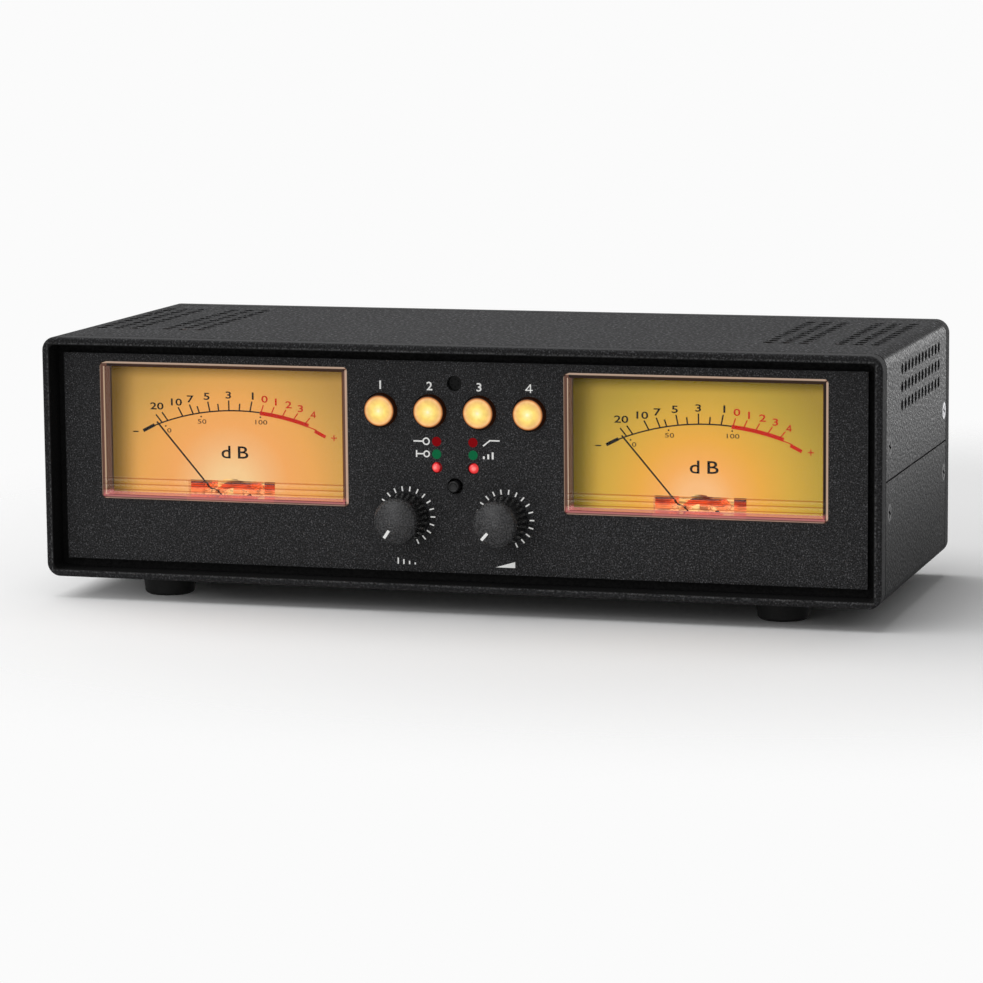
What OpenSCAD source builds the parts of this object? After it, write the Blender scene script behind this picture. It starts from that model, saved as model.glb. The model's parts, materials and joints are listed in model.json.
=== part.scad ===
// Dual needle level meter: a desk case with two moving-coil meters, four lit selector buttons and two knobs.
// Everything is drawn in the case's own frame: X to the right, Y from the front rim to the back, Z up from
// the underside of the case. placed() then moves it, so that the origin is the middle of the footprint,
// on the surface that the feet stand on.

/* [Case] */
// Width of the case
case_w = 248; // [246:1:262]
// Height of the case without its feet
case_h = 70.4; // [70:0.2:76]
// Depth of the case from the front rim to the rear rim
case_d = 103.5; // [100:0.5:125]
// Outer radius of the case's long edges
corner_r = 4; // [3.5:0.25:5]
// Thickness of the folded covers
shell_t = 1.2; // [1:0.1:1.4]
// Height of the seam between the covers
seam_z = 34.8; // [33:0.2:37]
// Width of the seam
seam_gap = 0.5; // [0.3:0.1:0.8]

/* [Bezels] */
// Depth of the smooth rim at the front and at the rear
rim_d = 5.5; // [4.5:0.25:6]
// Shadow gap between a rim and the covers
rim_gap = 0.5; // [0.3:0.1:0.8]
// Width of the lip that shows round the panel
lip_w = 2.2; // [1.8:0.1:2.4]
// Radius of the rim's outer front edge
rim_edge_r = 0.8; // [0.4:0.1:1.2]
// How far the front collar reaches into the covers, behind the panel
front_collar = 10; // [8.5:0.5:12]
// How far the rear collar reaches into the covers, in front of the rear panel
rear_collar = 12; // [11:0.5:14]
// Thickness of the collars
collar_t = 1.9; // [1.6:0.1:2.2]
// Thickness of the flange that a panel rests on
flange_t = 1.8; // [1.4:0.1:2.2]
// Width of that flange's overlap behind a panel
flange_lap = 1.1; // [0.8:0.1:1.2]

/* [Panels] */
// How far the front panel's face lies behind the rim
panel_depth = 5; // [4.5:0.25:6]
// Thickness of the front panel
panel_t = 2.5; // [2:0.25:3]
// Distance from the case's outside to the front panel's edge
panel_inset = 4.9; // [4.5:0.1:5.1]
// How far the rear panel's face lies inside the rear rim
rear_depth = 2.5; // [2:0.25:3.5]
// Thickness of the rear panel
rear_t = 2; // [1.5:0.25:2.5]
// Clearance round the rear panel
rear_fit = 0.3; // [0.2:0.1:0.5]

/* [Vents] */
// Diameter of a vent hole
vent_d = 3.2; // [2.4:0.1:3.4]
// Distance from one vent hole to the next
vent_pitch = 5.15; // [4.6:0.05:5.4]
// Holes in a row from front to back
vent_count = 12; // [8:1:12]
// Middle of the vent rows, measured from the front rim
vent_mid_y = 57; // [54:0.5:58]
// Distance from the case's middle to the fourth, open column between the two groups of the top
vent_mid_x = 101.1; // [99:0.1:101.5]
// Distance from the case's top to the middle row of the side vents
vent_drop = 11.7; // [11.5:0.1:13]

/* [Screws] */
// Distance of the side screws above and below the seam
screw_rise = 9.2; // [8.5:0.1:11]
// Front side screws, measured from the front rim
screw_front = 11.4; // [11:0.1:12]
// Rear side screws, measured from the rear rim
screw_rear = 8.5; // [8:0.1:10]
// Diameter of the side screws' countersunk heads, which lie flush
sunk_head_d = 5; // [4.6:0.1:5.2]
// Diameter of the rear panel screws' heads
screw_head_d = 5.4; // [5:0.1:6]
// Height of the rear panel screws' heads
screw_head_h = 1.8; // [1.4:0.1:2.2]

/* [Feet] */
// Height of a foot
foot_h = 6.5; // [5.5:0.25:9]
// Diameter of a foot where it meets the case
foot_d = 16; // [14:0.5:20]
// Distance of the feet from the case's middle
foot_x = 92.5; // [86:0.5:98]
// Distance of the feet from the front and rear rims
foot_inset = 18; // [16:0.5:24]

/* [Meters] */
// Distance of each meter from the case's middle
meter_x = 70; // [69.5:0.1:71.5]
// Height of the meter windows above the case's mid-height
meter_rise = 7.8; // [7:0.1:8]
// Width of a meter's lens
lens_w = 75.4; // [73:0.2:75.6]
// Height of a meter's lens
lens_h = 39.8; // [38:0.2:40]
// Thickness of the lens's side walls
lens_wall = 1.1; // [0.9:0.1:1.4]
// Thickness of the lens's face
lens_face = 1.4; // [1.2:0.1:1.8]
// How far the lens stands out of the panel
lens_proud = 0.8; // [0.4:0.1:1.4]
// Distance from the lens's face to the dial
dial_back = 6.8; // [6.4:0.1:7.2]
// Thickness of the dial plate
dial_t = 0.6; // [0.4:0.1:0.8]
// Width of the dial's window for the movement
dial_window_w = 27; // [26:0.5:28]
// Height of that window above the lens's lower edge
dial_window_h = 5; // [4:0.25:6]
// Wall of the meter housing
housing_wall = 1.05; // [0.9:0.05:1.1]
// Depth of the meter housing behind the panel
housing_d = 21; // [20.5:0.25:24]
// Distance of the mounting ears' holes beyond the lens
ear_out = 4.1; // [4:0.1:4.4]

/* [Movement] */
// Distance of the needle's pivot below the middle of the window
pivot_drop = 23.6; // [22.8:0.1:24]
// Length of the needle from its pivot
needle_l = 34.1; // [31:0.1:35]
// Width of the needle
needle_w = 0.4; // [0.3:0.05:0.6]
// Angle of the resting needle, to the left of straight up
needle_rest = 40.6; // [38:0.2:43]
// Outer radius of the magnet ring
ring_r = 8.3; // [8.1:0.1:8.6]
// Inner radius of the magnet ring
ring_bore_r = 6.4; // [6.3:0.1:6.6]
// Radius of the iron core
core_r = 3.9; // [3.6:0.1:4]
// Length of the core and the ring
core_l = 7.6; // [7:0.1:8]
// Turns of the hairspring
spring_turns = 3; // [2:1:3]

/* [Selector buttons] */
// Distance from one selector button to the next
button_pitch = 14.7; // [13.6:0.1:15]
// Height of the selector buttons above the case's mid-height
button_rise = 15.9; // [15.5:0.1:16.5]
// Diameter of a selector button
button_d = 9.2; // [8.6:0.1:9.6]
// How far a selector button stands out of the panel
button_proud = 2; // [1.4:0.1:2.6]
// Gap between a button and its hole
button_gap = 0.4; // [0.3:0.05:0.5]
// Travel of the buttons
button_travel = 0.4; // [0.3:0.05:0.5]

/* [Lamps and microphone] */
// Height of the microphone above the case's mid-height
mic_rise = 24.1; // [23.6:0.1:24.4]
// Diameter of the microphone's hole
mic_d = 4.4; // [4:0.1:5]
// Distance of the level lamps from the middle
lamp_x = 5.4; // [5.2:0.1:6]
// Height of the level lamps above the case's mid-height
lamp_rise = -0.1; // [-0.5:0.1:0.5]
// Diameter of a level lamp
lamp_d = 3; // [2.8:0.1:3.2]
// Height of the mode button above the case's mid-height
mode_rise = -5.3; // [-5.5:0.1:-5]
// Diameter of the mode button
mode_d = 3.2; // [2.8:0.1:3.4]
// Diameter of the mode button's hole
mode_hole_d = 4.6; // [4.2:0.1:5]

/* [Knobs] */
// Distance of each knob from the middle
knob_x = 14.7; // [14.2:0.1:15.2]
// Height of the knobs above the case's mid-height
knob_rise = -14.4; // [-15:0.1:-14]
// Diameter of a knob's face
knob_d = 13.2; // [12:0.1:14]
// Distance from the panel to a knob's face
knob_proud = 10.5; // [9.5:0.1:12]
// Gap between a knob and the panel
knob_gap = 0.6; // [0.5:0.1:0.9]
// Diameter of the knob shafts
shaft_d = 6; // [5.6:0.1:6.4]
// Angle of the left knob's pointer, clockwise from straight up
left_knob_angle = -145.3; // [-149:0.1:149]
// Angle of the right knob's pointer, clockwise from straight up
right_knob_angle = -138.7; // [-149:0.1:149]

/* [Control board] */
// Distance from the panel to the control board
board_gap = 6.8; // [6.6:0.1:7.2]
// Width of the control board
control_w = 49; // [48:0.5:50]
// Height of the control board
control_h = 57; // [55:0.5:57]
// Thickness of both boards
board_t = 1.6; // [1.2:0.1:2]

/* [Main board] */
// Width of the main board
main_w = 214; // [206:1:216]
// Distance from the front rim to the main board's front edge
main_front = 38; // [37.5:0.5:40]
// Height of the main board's standoffs
standoff_h = 6; // [5:0.5:7]
// Distance of the outer standoffs from the main board's ends
standoff_inset = 5; // [4.5:0.5:6]
// Distance of the rear standoffs from the main board's rear edge
standoff_back = 18; // [17:0.5:19]

/* [Rear fittings] */
// Distance from one jack pair to the next
jack_pitch = 22; // [20:0.5:24]
// Pairs of jacks
jack_pairs = 5; // [3:1:5]
// Distance between the two jacks of a pair
jack_rise = 16; // [14:0.5:18]
// Outer diameter of a jack's sleeve
jack_d = 8.3; // [8.1:0.05:8.5]
// How far a jack's sleeve stands out of the rear panel
jack_l = 9; // [8:0.25:10]
// Sideways place of the middle jack pair
jack_mid_x = 22; // [16:1:28]
// Diameter of the inlet's socket
inlet_d = 6.2; // [5.5:0.1:6.6]
// Distance from the rocker switch to the inlet
inlet_step = 28; // [24:1:32]
// Distance from the case's side to the rocker switch
rocker_inset = 38; // [34:1:46]
// Height of the rocker switch's middle
rocker_z = 36; // [32:0.5:40]

/* [Hidden] */
$fn = 48;

// Small fits that several pieces share
fit = 0.1;
run_fit = 0.05;
press_gap = 0.02;
m3_r = 1.5;
m3_hole_r = 1.65;
m3_tap_r = m3_r + press_gap;
m2_r = 1;
m2_tap_r = m2_r + press_gap;

// Case planes
mid_z = case_h / 2;
shell_front = rim_d + rim_gap;
shell_back = case_d - shell_front;
collar_inset = shell_t + fit + run_fit;
collar_inner = collar_inset + collar_t;
panel_back = panel_depth + panel_t;
panel_w = case_w - 2 * panel_inset;
panel_h = case_h - 2 * panel_inset;
flange_inset = panel_inset + flange_lap;
front_collar_end = panel_back + front_collar;
rear_face = case_d - rear_depth;
rear_inner = rear_face - rear_t;
rear_collar_end = rear_inner - rear_collar;
rear_inset = lip_w + rear_fit;
rear_flange_inset = rear_inset + 2 * flange_lap;
floor_z = shell_t;
sunk_edge = 0.15;
sunk_slot = 0.8;
screw_boss = 7.6;
screw_boss_t = 3;
stud_l = 6;
stud_inset = 10;
stud_land = 3.3;
lug = stud_inset + stud_land - collar_inset - collar_t / 2;
nut_af = 5.5;
nut_h = 2.4;
nut_clear = 1;

// Meter planes and sizes
meter_z = mid_z + meter_rise;
lens_front = panel_depth - lens_proud;
lens_r = lens_wall + 0.1;
lens_edge_r = 0.4;
cutout_fit = 0.25;
dial_y = lens_front + dial_back;
dial_behind = dial_y + dial_t;
housing_back = panel_back + housing_d;
housing_rear_t = 1.5;
cavity_back = housing_back - housing_rear_t;
ledge = 1.6;
pivot_z = meter_z - pivot_drop;
chamber_half = dial_window_w / 2 + 1;
chamber_front = panel_back + 1.5;
chamber_clear = 1;
chamber_low = pivot_z - ring_r - chamber_clear;
ear_x = lens_w / 2 + ear_out;
ear_t = 2.4;
ear_r = 3.2;
ring_front = dial_behind + 3.6;
ring_back = ring_front + core_l;
plate_front = ring_back + 2.2;
plate_t = 1;
coil_gap = 0.4;
coil_bar = 1.2;
coil_half = 1;
hub_front = dial_behind + 1.35;
hub_t = 0.5;
needle_plane = dial_y - 1.4;
needle_t = 0.3;
bend_in_r = 7.6;
bend_out_r = 8.9;
notch_r = 9.6;
pin_r = 0.25;
terminal_r = 1;
terminal_l = 6;
terminal_tab_t = 0.5;
coil_terminal_x = 8;
coil_terminal_z = chamber_low + 3.5;
lamp_terminal_x = 3.4;
lamp_terminal_z = meter_z + 1.5;
lamp_board_t = 1.2;
lamp_board_w = 60;
lamp_board_h = 13;
lamp_board_rise = -2;
meter_lamp = 5;
meter_lamp_h = 1.6;

// Controls
board_y = panel_back + board_gap;
board_back = board_y + board_t;
button_flange = 0.9;
button_flange_w = 0.9;
stem_r = 1.7;
switch_w = 6;
switch_h = 3.5;
switch_y = board_y - switch_h;
stem_end = switch_y + 1.5;
mode_proud = 2;
lamp_flange_y = panel_back + 1.2;
mic_recess = 1.3;
knob_edge_r = 0.9;
mode_dish = 0.3;
knob_flare = 0.2;
knob_face_y = panel_depth - knob_proud;
knob_back_y = panel_depth - knob_gap;
bush_r = shaft_d / 2 + 0.5;
bush_proud = 1;
knob_recess = 2.2;
knob_recess_r = bush_r + 0.9;
shaft_end = knob_face_y + 3.5;
shaft_back = board_y - 1.5;
pointer_w = 0.85;
pointer_in = 3.3;
pointer_depth = 0.3;
pot_w = 9.6;
pot_h = 11;
spacer_x = control_w / 2 - 3.6;
spacer_z = control_h / 2 - 3.8;

// Boards and rear fittings
board_z = floor_z + standoff_h;
deck_z = board_z + board_t;
main_back = rear_inner - 3;
main_d = main_back - main_front;
jack_shoulder = 0.4;
jack_foot = 8;
jack_top = 8;
jack_low_z = deck_z + jack_foot;
jack_block_w = 13;
jack_block_d = 15;
jack_seat = 4;
insulator_gap = 0.6;
insulator_r = jack_d / 2 - insulator_gap;
insulator_y = rear_inner - jack_seat + 1;
insulator_mouth = rear_face + jack_l - 0.6;
contact_r = 1.65;
inlet_w = 9.4;
inlet_h = 11;
inlet_depth = 14;
inlet_socket_l = 9.5;
inlet_pin_r = 1;
rocker_x = rocker_inset - case_w / 2;
inlet_x = rocker_x + inlet_step;
rocker_w = 10;
rocker_l = 16.4;
rocker_tilt = 11;
rocker_flange = 2;
rocker_body_d = 16;
rocker_pivot_y = rear_face + 0.3;
relay_x = -34;
relay_y = main_front + 14;
relay_w = 15;
relay_d = 10;
relay_pitch = 26;
capacitor_y = main_front + 33;
capacitor_r = 3.1;
capacitor_h = 11;
capacitor_step = 10;
filter_x = 8;
filter_y = main_front + 22;
filter_r = 5;
filter_h = 14;
filter_pitch = 14;
chip_inset = 25;
chip_y = main_front + 8;
chip_w = 9.8;
chip_d = 6.4;
chip_h = 4;
chip_pitch = 10;
regulator_inset = 7;
regulator_y = main_front + 12;
regulator_w = 10;
regulator_d = 4.4;
regulator_h = 15;
regulator_pitch = 14;
header_w = 22;
header_h = 3.4;
strip_t = 0.9;
control_cable_z = mid_z + knob_rise - 7;
cable_land_y = main_front + 6;

// The whole object's front and back, which set the origin
front_most = knob_face_y;
back_most = rear_face + jack_l;

module placed() {
    translate([0, -(front_most + back_most) / 2, foot_h])
        children();
}

// Extrudes a shape drawn in X and Z from y to y + t
module slab(y, t) {
    translate([0, y + t, 0])
        rotate([90, 0, 0])
            linear_extrude(height = t)
                children();
}

// A cylinder along Y, from y to y + l
module rod(x, y, z, r, l) {
    translate([x, y + l, z])
        rotate([90, 0, 0])
            cylinder(r = r, h = l);
}

// A shape turned about an axis along Y: profile points are [radius, y]
module turned(x, z) {
    translate([x, 0, z])
        rotate([-90, 0, 0])
            rotate_extrude()
                children();
}

// A block given by its low corner and its size
module block(x, y, z, w, d, h) {
    translate([x, y, z])
        cube([w, d, h]);
}

// A block centred on x and z, from y to y + d
module bar(x, y, z, w, d, h) {
    block(x - w / 2, y, z - h / 2, w, d, h);
}

module rounded_rect(w, h, r) {
    square([w - 2 * r, h], center = true);
    square([w, h - 2 * r], center = true);
    for (sx = [-1, 1], sz = [-1, 1])
        translate([sx * (w / 2 - r), sz * (h / 2 - r)])
            circle(r = r);
}

// The case's outline, drawn in by inset
module case_outline(inset) {
    translate([0, mid_z])
        rounded_rect(case_w - 2 * inset, case_h - 2 * inset, max(corner_r - inset, 0.5));
}

module case_ring(y, t, outer, inner) {
    slab(y, t)
        difference() {
            case_outline(outer);
            case_outline(inner);
        }
}

// Sweeps a profile of [distance inward, y] round a rounded rectangle of w by h with corner radius r
module framed(w, h, r, z) {
    translate([0, 0, z]) {
        for (sx = [-1, 1], sz = [-1, 1])
            translate([sx * (w / 2 - r), 0, sz * (h / 2 - r)])
                rotate([-90, 0, 0])
                    rotate([0, 0, corner_turn(sx, sz)])
                        rotate_extrude(angle = 90)
                            translate([r, 0])
                                mirror([1, 0])
                                    children();
        for (s = [0, 1]) {
            rotate([0, 180 * s, 0])
                translate([-(w / 2 - r), 0, h / 2])
                    rotate([0, 90, 0])
                        linear_extrude(height = w - 2 * r)
                            children();
            rotate([0, 180 * s, 0])
                translate([w / 2, 0, -(h / 2 - r)])
                    mirror([1, 0, 0])
                        linear_extrude(height = h - 2 * r)
                            children();
        }
    }
}

// Start angle of a corner's quarter turn, once the corner's axis points along Y
function corner_turn(sx, sz) = sx > 0 ? (sz > 0 ? -90 : 0) : (sz > 0 ? 180 : 90);

// Points of a rounded outer front edge of radius r that starts at y
function edge_arc(y, r, steps = 4) =
    [for (i = [0 : steps]) [r * (1 - sin(i * 90 / steps)), y + r * (1 - cos(i * 90 / steps))]];

// Profile of a wall t thick from y to y + l, whose outer front edge is rounded by r
module edge_profile(y, l, t, r) {
    polygon(concat(edge_arc(y, r), [[0, y + l], [t, y + l], [t, y]]));
}

// Profile of a bezel: the rim, the neck behind it and the collar that reaches into the covers
module bezel_profile(neck_end, collar_end) {
    polygon(concat(edge_arc(0, rim_edge_r), [[0, rim_d], [collar_inset, rim_d], [collar_inset, collar_end],
        [collar_inner, collar_end], [collar_inner, neck_end], [lip_w, neck_end], [lip_w, 0]]));
}

module hex_nut(x, y, z, af, l, bore_r) {
    difference() {
        translate([x, y + l, z])
            rotate([90, 30, 0])
                cylinder(r = af / 2 / cos(30), h = l, $fn = 6);
        rod(x, y - 1, z, bore_r, l + 2);
    }
}

// A cross-head screw along +Z, its head's underside at z = 0 and its head below
module cross_screw(r, l, head_r, head_h) {
    slot = head_r * 0.3;
    difference() {
        union() {
            cylinder(r = r, h = l);
            rotate_extrude()
                polygon([[0, -head_h], [head_r * 0.55, -head_h], [head_r * 0.85, -head_h * 0.72],
                    [head_r, -head_h * 0.3], [head_r, 0], [0, 0]]);
        }
        for (a = [0, 90])
            rotate([0, 0, a])
                translate([-head_r * 0.6, -slot / 2, -head_h - 1])
                    cube([head_r * 1.2, slot, head_h * 0.6 + 1]);
    }
}

// A countersunk cross-head screw along +Z, with the flat of its head at z = 0
module sunk_screw(r, l, head_r) {
    slot = head_r * 0.28;
    difference() {
        rotate_extrude()
            polygon([[0, 0], [head_r, 0], [head_r, sunk_edge], [r, sunk_edge + head_r - r], [r, l], [0, l]]);
        for (a = [0, 90])
            rotate([0, 0, a])
                translate([-head_r * 0.62, -slot / 2, -1])
                    cube([head_r * 1.24, slot, 1 + sunk_slot]);
    }
}

// ---- Case ----

module side_screw_holes(front, rear, r) {
    ys = concat(front ? [screw_front] : [], rear ? [case_d - screw_rear] : []);
    for (y = ys, s = [-1, 1])
        translate([-case_w, y, seam_z + s * screw_rise])
            rotate([0, 90, 0])
                cylinder(r = r, h = 2 * case_w);
}

// Countersinks for the side screws' heads
module side_countersinks() {
    for (side = [-1, 1], y = [screw_front, case_d - screw_rear], s = [-1, 1])
        at_side_screw(side, y, seam_z + s * screw_rise)
            rotate_extrude()
                polygon([[0, -1], [sunk_head_d / 2 + press_gap, -1], [sunk_head_d / 2 + press_gap, sunk_edge],
                    [m3_hole_r, sunk_edge + sunk_head_d / 2 + press_gap - m3_hole_r], [0, shell_t]]);
}

// Puts the outside of the case at a side screw at z = 0, with +Z going in
module at_side_screw(side, y, z) {
    translate([side * case_w / 2, y, z])
        rotate([0, -90 * side, 0])
            children();
}

module side_screw_bosses(y) {
    for (sx = [-1, 1], sz = [-1, 1])
        block(sx > 0 ? case_w / 2 - collar_inner - screw_boss_t : -case_w / 2 + collar_inner - fit,
            y - screw_boss / 2, seam_z + sz * screw_rise - screw_boss / 2,
            screw_boss_t + fit, screw_boss, screw_boss);
}

// Squares in the corners of a flange that carry the panel's fixings
module corner_lugs(y, t) {
    for (sx = [-1, 1], sz = [-1, 1])
        bar(sx * (case_w / 2 - collar_inset - collar_t / 2 - lug / 2), y,
            mid_z + sz * (mid_z - collar_inset - collar_t / 2 - lug / 2), lug, t, lug);
}

module corner_holes(y, l, r) {
    for (sx = [-1, 1], sz = [-1, 1])
        rod(sx * (case_w / 2 - stud_inset), y, mid_z + sz * (mid_z - stud_inset), r, l);
}

// Notches in the collars round the foot nuts
module foot_reliefs() {
    each_foot()
        translate([0, 0, collar_inset - 1])
            cylinder(r = nut_af / 2 / cos(30) + nut_clear, h = collar_t + 2);
}

module front_bezel() {
    color([0.13, 0.13, 0.14]) placed() difference() {
        union() {
            framed(case_w, case_h, corner_r, mid_z)
                bezel_profile(panel_back, front_collar_end);
            case_ring(panel_back, flange_t, collar_inset + collar_t / 2, flange_inset);
            corner_lugs(panel_back, flange_t);
            side_screw_bosses(screw_front);
        }
        corner_holes(panel_back - 1, flange_t + 2, m3_hole_r);
        side_screw_holes(true, false, m3_tap_r);
        foot_reliefs();
    }
}

module rear_bezel() {
    color([0.13, 0.13, 0.14]) placed() difference() {
        union() {
            translate([0, case_d, 0])
                mirror([0, 1, 0])
                    framed(case_w, case_h, corner_r, mid_z)
                        bezel_profile(case_d - rear_inner, case_d - rear_collar_end);
            case_ring(rear_inner - flange_t, flange_t, collar_inset + collar_t / 2, rear_flange_inset);
            corner_lugs(rear_inner - flange_t, flange_t);
            side_screw_bosses(case_d - screw_rear);
        }
        corner_holes(rear_inner - flange_t - 1, flange_t + 2, m3_tap_r);
        side_screw_holes(false, true, m3_tap_r);
        foot_reliefs();
    }
}

module front_panel() {
    color([0.19, 0.19, 0.2]) placed() {
        difference() {
            slab(panel_depth, panel_t)
                translate([0, mid_z])
                    square([panel_w, panel_h], center = true);
            slab(panel_depth - 1, panel_t + 2)
                for (side = [-1, 1])
                    translate([side * meter_x, meter_z])
                        rounded_rect(lens_w + 2 * cutout_fit, lens_h + 2 * cutout_fit, lens_r);
            for (i = [0 : 3])
                rod(button_x(i), panel_depth - 1, mid_z + button_rise, button_d / 2 + button_gap, panel_t + 2);
            rod(0, panel_depth - 1, mid_z + mic_rise, mic_d / 2, panel_t + 2);
            rod(0, panel_depth - 1, mid_z + mode_rise, mode_hole_d / 2, panel_t + 2);
            for (side = [-1, 1]) {
                rod(side * lamp_x, panel_depth - 1, mid_z + lamp_rise, lamp_d / 2 + fit, panel_t + 2);
                rod(side * knob_x, panel_depth - 1, mid_z + knob_rise, bush_r + fit, panel_t + 2);
            }
        }
        panel_studs();
    }
}

// Studs welded to the back of the front panel
module panel_studs() {
    corner_holes(panel_back, stud_l, m3_r);
    for (side = [-1, 1], s = [-1, 1])
        rod(side * meter_x + s * ear_x, panel_back, meter_z, m3_r, stud_l);
}

module panel_nuts() {
    color([0.75, 0.75, 0.77]) placed() {
        for (sx = [-1, 1], sz = [-1, 1])
            hex_nut(sx * (case_w / 2 - stud_inset), panel_back + flange_t, mid_z + sz * (mid_z - stud_inset),
                nut_af, nut_h, m3_tap_r);
        for (side = [-1, 1], s = [-1, 1])
            hex_nut(side * meter_x + s * ear_x, panel_back + ear_t, meter_z, nut_af, nut_h, m3_tap_r);
    }
}

module rear_panel() {
    color([0.16, 0.16, 0.17]) placed() difference() {
        slab(rear_inner, rear_t)
            case_outline(rear_inset);
        corner_holes(rear_inner - 1, rear_t + 2, m3_hole_r);
        each_jack()
            rod(0, rear_inner - 1, 0, jack_d / 2 + jack_shoulder + fit, rear_t + 2);
        rod(inlet_x, rear_inner - 1, inlet_z(), inlet_w / 2 - 0.5 + fit, rear_t + 2);
        bar(rocker_x, rear_inner - 1, rocker_z, rocker_w + 2.8 + 2 * fit, rear_t + 2, rocker_l + 2.4 + 2 * fit);
    }
}

module cover_half(upper) {
    slab(shell_front, shell_back - shell_front)
        intersection() {
            difference() {
                case_outline(0);
                case_outline(shell_t);
            }
            translate([-case_w, upper ? seam_z + seam_gap / 2 : -case_h])
                square([2 * case_w, upper ? case_h : case_h + seam_z - seam_gap / 2]);
        }
}

function vent_y(i) = vent_mid_y + (i - (vent_count - 1) / 2) * vent_pitch;

module top_cover() {
    color([0.15, 0.15, 0.16]) placed() difference() {
        cover_half(true);
        for (i = [0 : vent_count - 1]) {
            for (side = [-1, 1], k = [-3, -2, -1, 1, 2, 3])
                translate([side * (vent_mid_x + k * vent_pitch), vent_y(i), case_h - 2 * shell_t])
                    cylinder(r = vent_d / 2, h = 3 * shell_t);
            for (k = [-1 : 1])
                translate([-case_w, vent_y(i), case_h - vent_drop + k * vent_pitch])
                    rotate([0, 90, 0])
                        cylinder(r = vent_d / 2, h = 2 * case_w);
        }
        side_screw_holes(true, true, m3_hole_r);
        side_countersinks();
    }
}

module bottom_cover() {
    lap_t = 1.2;
    lap_rise = 4;
    lap_drop = 6;
    lap_front = front_collar_end + 1;
    lap_d = rear_collar_end - 1 - lap_front;
    color([0.15, 0.15, 0.16]) placed() difference() {
        union() {
            cover_half(false);
            for (side = [0, 1])
                mirror([side, 0, 0]) {
                    block(case_w / 2 - shell_t - lap_t, lap_front, seam_z - lap_drop,
                        lap_t + fit, lap_d, lap_drop - 1);
                    block(case_w / 2 - shell_t - lap_t, lap_front, seam_z - lap_drop,
                        lap_t - fit, lap_d, lap_drop + lap_rise);
                }
        }
        side_screw_holes(true, true, m3_hole_r);
        side_countersinks();
        each_foot()
            translate([0, 0, -1])
                cylinder(r = m3_hole_r, h = shell_t + 2);
        each_standoff()
            translate([0, 0, -1])
                cylinder(r = m3_hole_r, h = shell_t + 2);
    }
}

// Side screws: the rear one above the seam on each side is bright, the others are black
module side_screw(side, y, z) {
    at_side_screw(side, y, z)
        rotate([0, 0, 20])
            sunk_screw(m3_r, shell_t + fit + collar_t + screw_boss_t - 0.5, sunk_head_d / 2);
}

module case_screws_black() {
    color([0.1, 0.1, 0.1]) placed()
        for (side = [-1, 1]) {
            side_screw(side, screw_front, seam_z + screw_rise);
            side_screw(side, screw_front, seam_z - screw_rise);
            side_screw(side, case_d - screw_rear, seam_z - screw_rise);
        }
}

module case_screws_silver() {
    color([0.8, 0.8, 0.82]) placed()
        for (side = [-1, 1])
            side_screw(side, case_d - screw_rear, seam_z + screw_rise);
}

module rear_panel_screws() {
    color([0.1, 0.1, 0.1]) placed()
        for (sx = [-1, 1], sz = [-1, 1])
            translate([sx * (case_w / 2 - stud_inset), rear_face, mid_z + sz * (mid_z - stud_inset)])
                rotate([90, 0, 0])
                    cross_screw(m3_r, rear_t + flange_t, screw_head_d / 2, screw_head_h);
}

module each_foot() {
    for (sx = [-1, 1], y = [foot_inset, case_d - foot_inset])
        translate([sx * foot_x, y, 0])
            children();
}

module feet() {
    taper = 0.9;
    edge = 0.8;
    head_r = 3.4;
    color([0.08, 0.08, 0.08]) placed()
        each_foot()
            difference() {
                rotate_extrude()
                    polygon([[0, 0], [foot_d / 2, 0], [foot_d / 2 - taper * 0.8, edge - foot_h],
                        [foot_d / 2 - taper - edge * 0.4, 0.25 - foot_h],
                        [foot_d / 2 - taper - edge, -foot_h], [0, -foot_h]]);
                translate([0, 0, -foot_h - 1])
                    cylinder(r = m3_hole_r, h = foot_h + 2);
                translate([0, 0, -foot_h - 1])
                    cylinder(r = head_r, h = foot_h / 2 + 1);
            }
}

module foot_screws() {
    color([0.75, 0.75, 0.77]) placed()
        each_foot()
            translate([0, 0, -foot_h / 2])
                cross_screw(m3_r, foot_h / 2 + shell_t + nut_h, 2.9, 1.8);
}

module foot_nuts() {
    color([0.75, 0.75, 0.77]) placed()
        each_foot()
            translate([0, 0, floor_z])
                difference() {
                    cylinder(r = nut_af / 2 / cos(30), h = nut_h, $fn = 6);
                    translate([0, 0, -1])
                        cylinder(r = m3_tap_r, h = nut_h + 2);
                }
}

// ---- Meters ----

module at_meter(side) {
    translate([side * meter_x, 0, meter_z])
        children();
}

module meter_lens(side) {
    color([0.95, 0.88, 0.75, 0.4]) placed() at_meter(side) {
        framed(lens_w, lens_h, lens_r, 0)
            edge_profile(lens_front, dial_back, lens_wall, lens_edge_r);
        slab(lens_front, lens_face)
            rounded_rect(lens_w - 2 * lens_wall, lens_h - 2 * lens_wall, lens_r - lens_wall);
    }
}

module left_meter_lens() { meter_lens(-1); }
module right_meter_lens() { meter_lens(1); }

module meter_dial(side) {
    color([0.95, 0.78, 0.45]) placed() at_meter(side) difference() {
        slab(dial_y, dial_t)
            rounded_rect(lens_w, lens_h, lens_r);
        block(-dial_window_w / 2, dial_y - 1, -lens_h / 2 - 1, dial_window_w, dial_t + 2, dial_window_h + 1);
        rod(0, dial_y - 1, -pivot_drop, notch_r, dial_t + 2);
    }
}

module left_meter_dial() { meter_dial(-1); }
module right_meter_dial() { meter_dial(1); }

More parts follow.
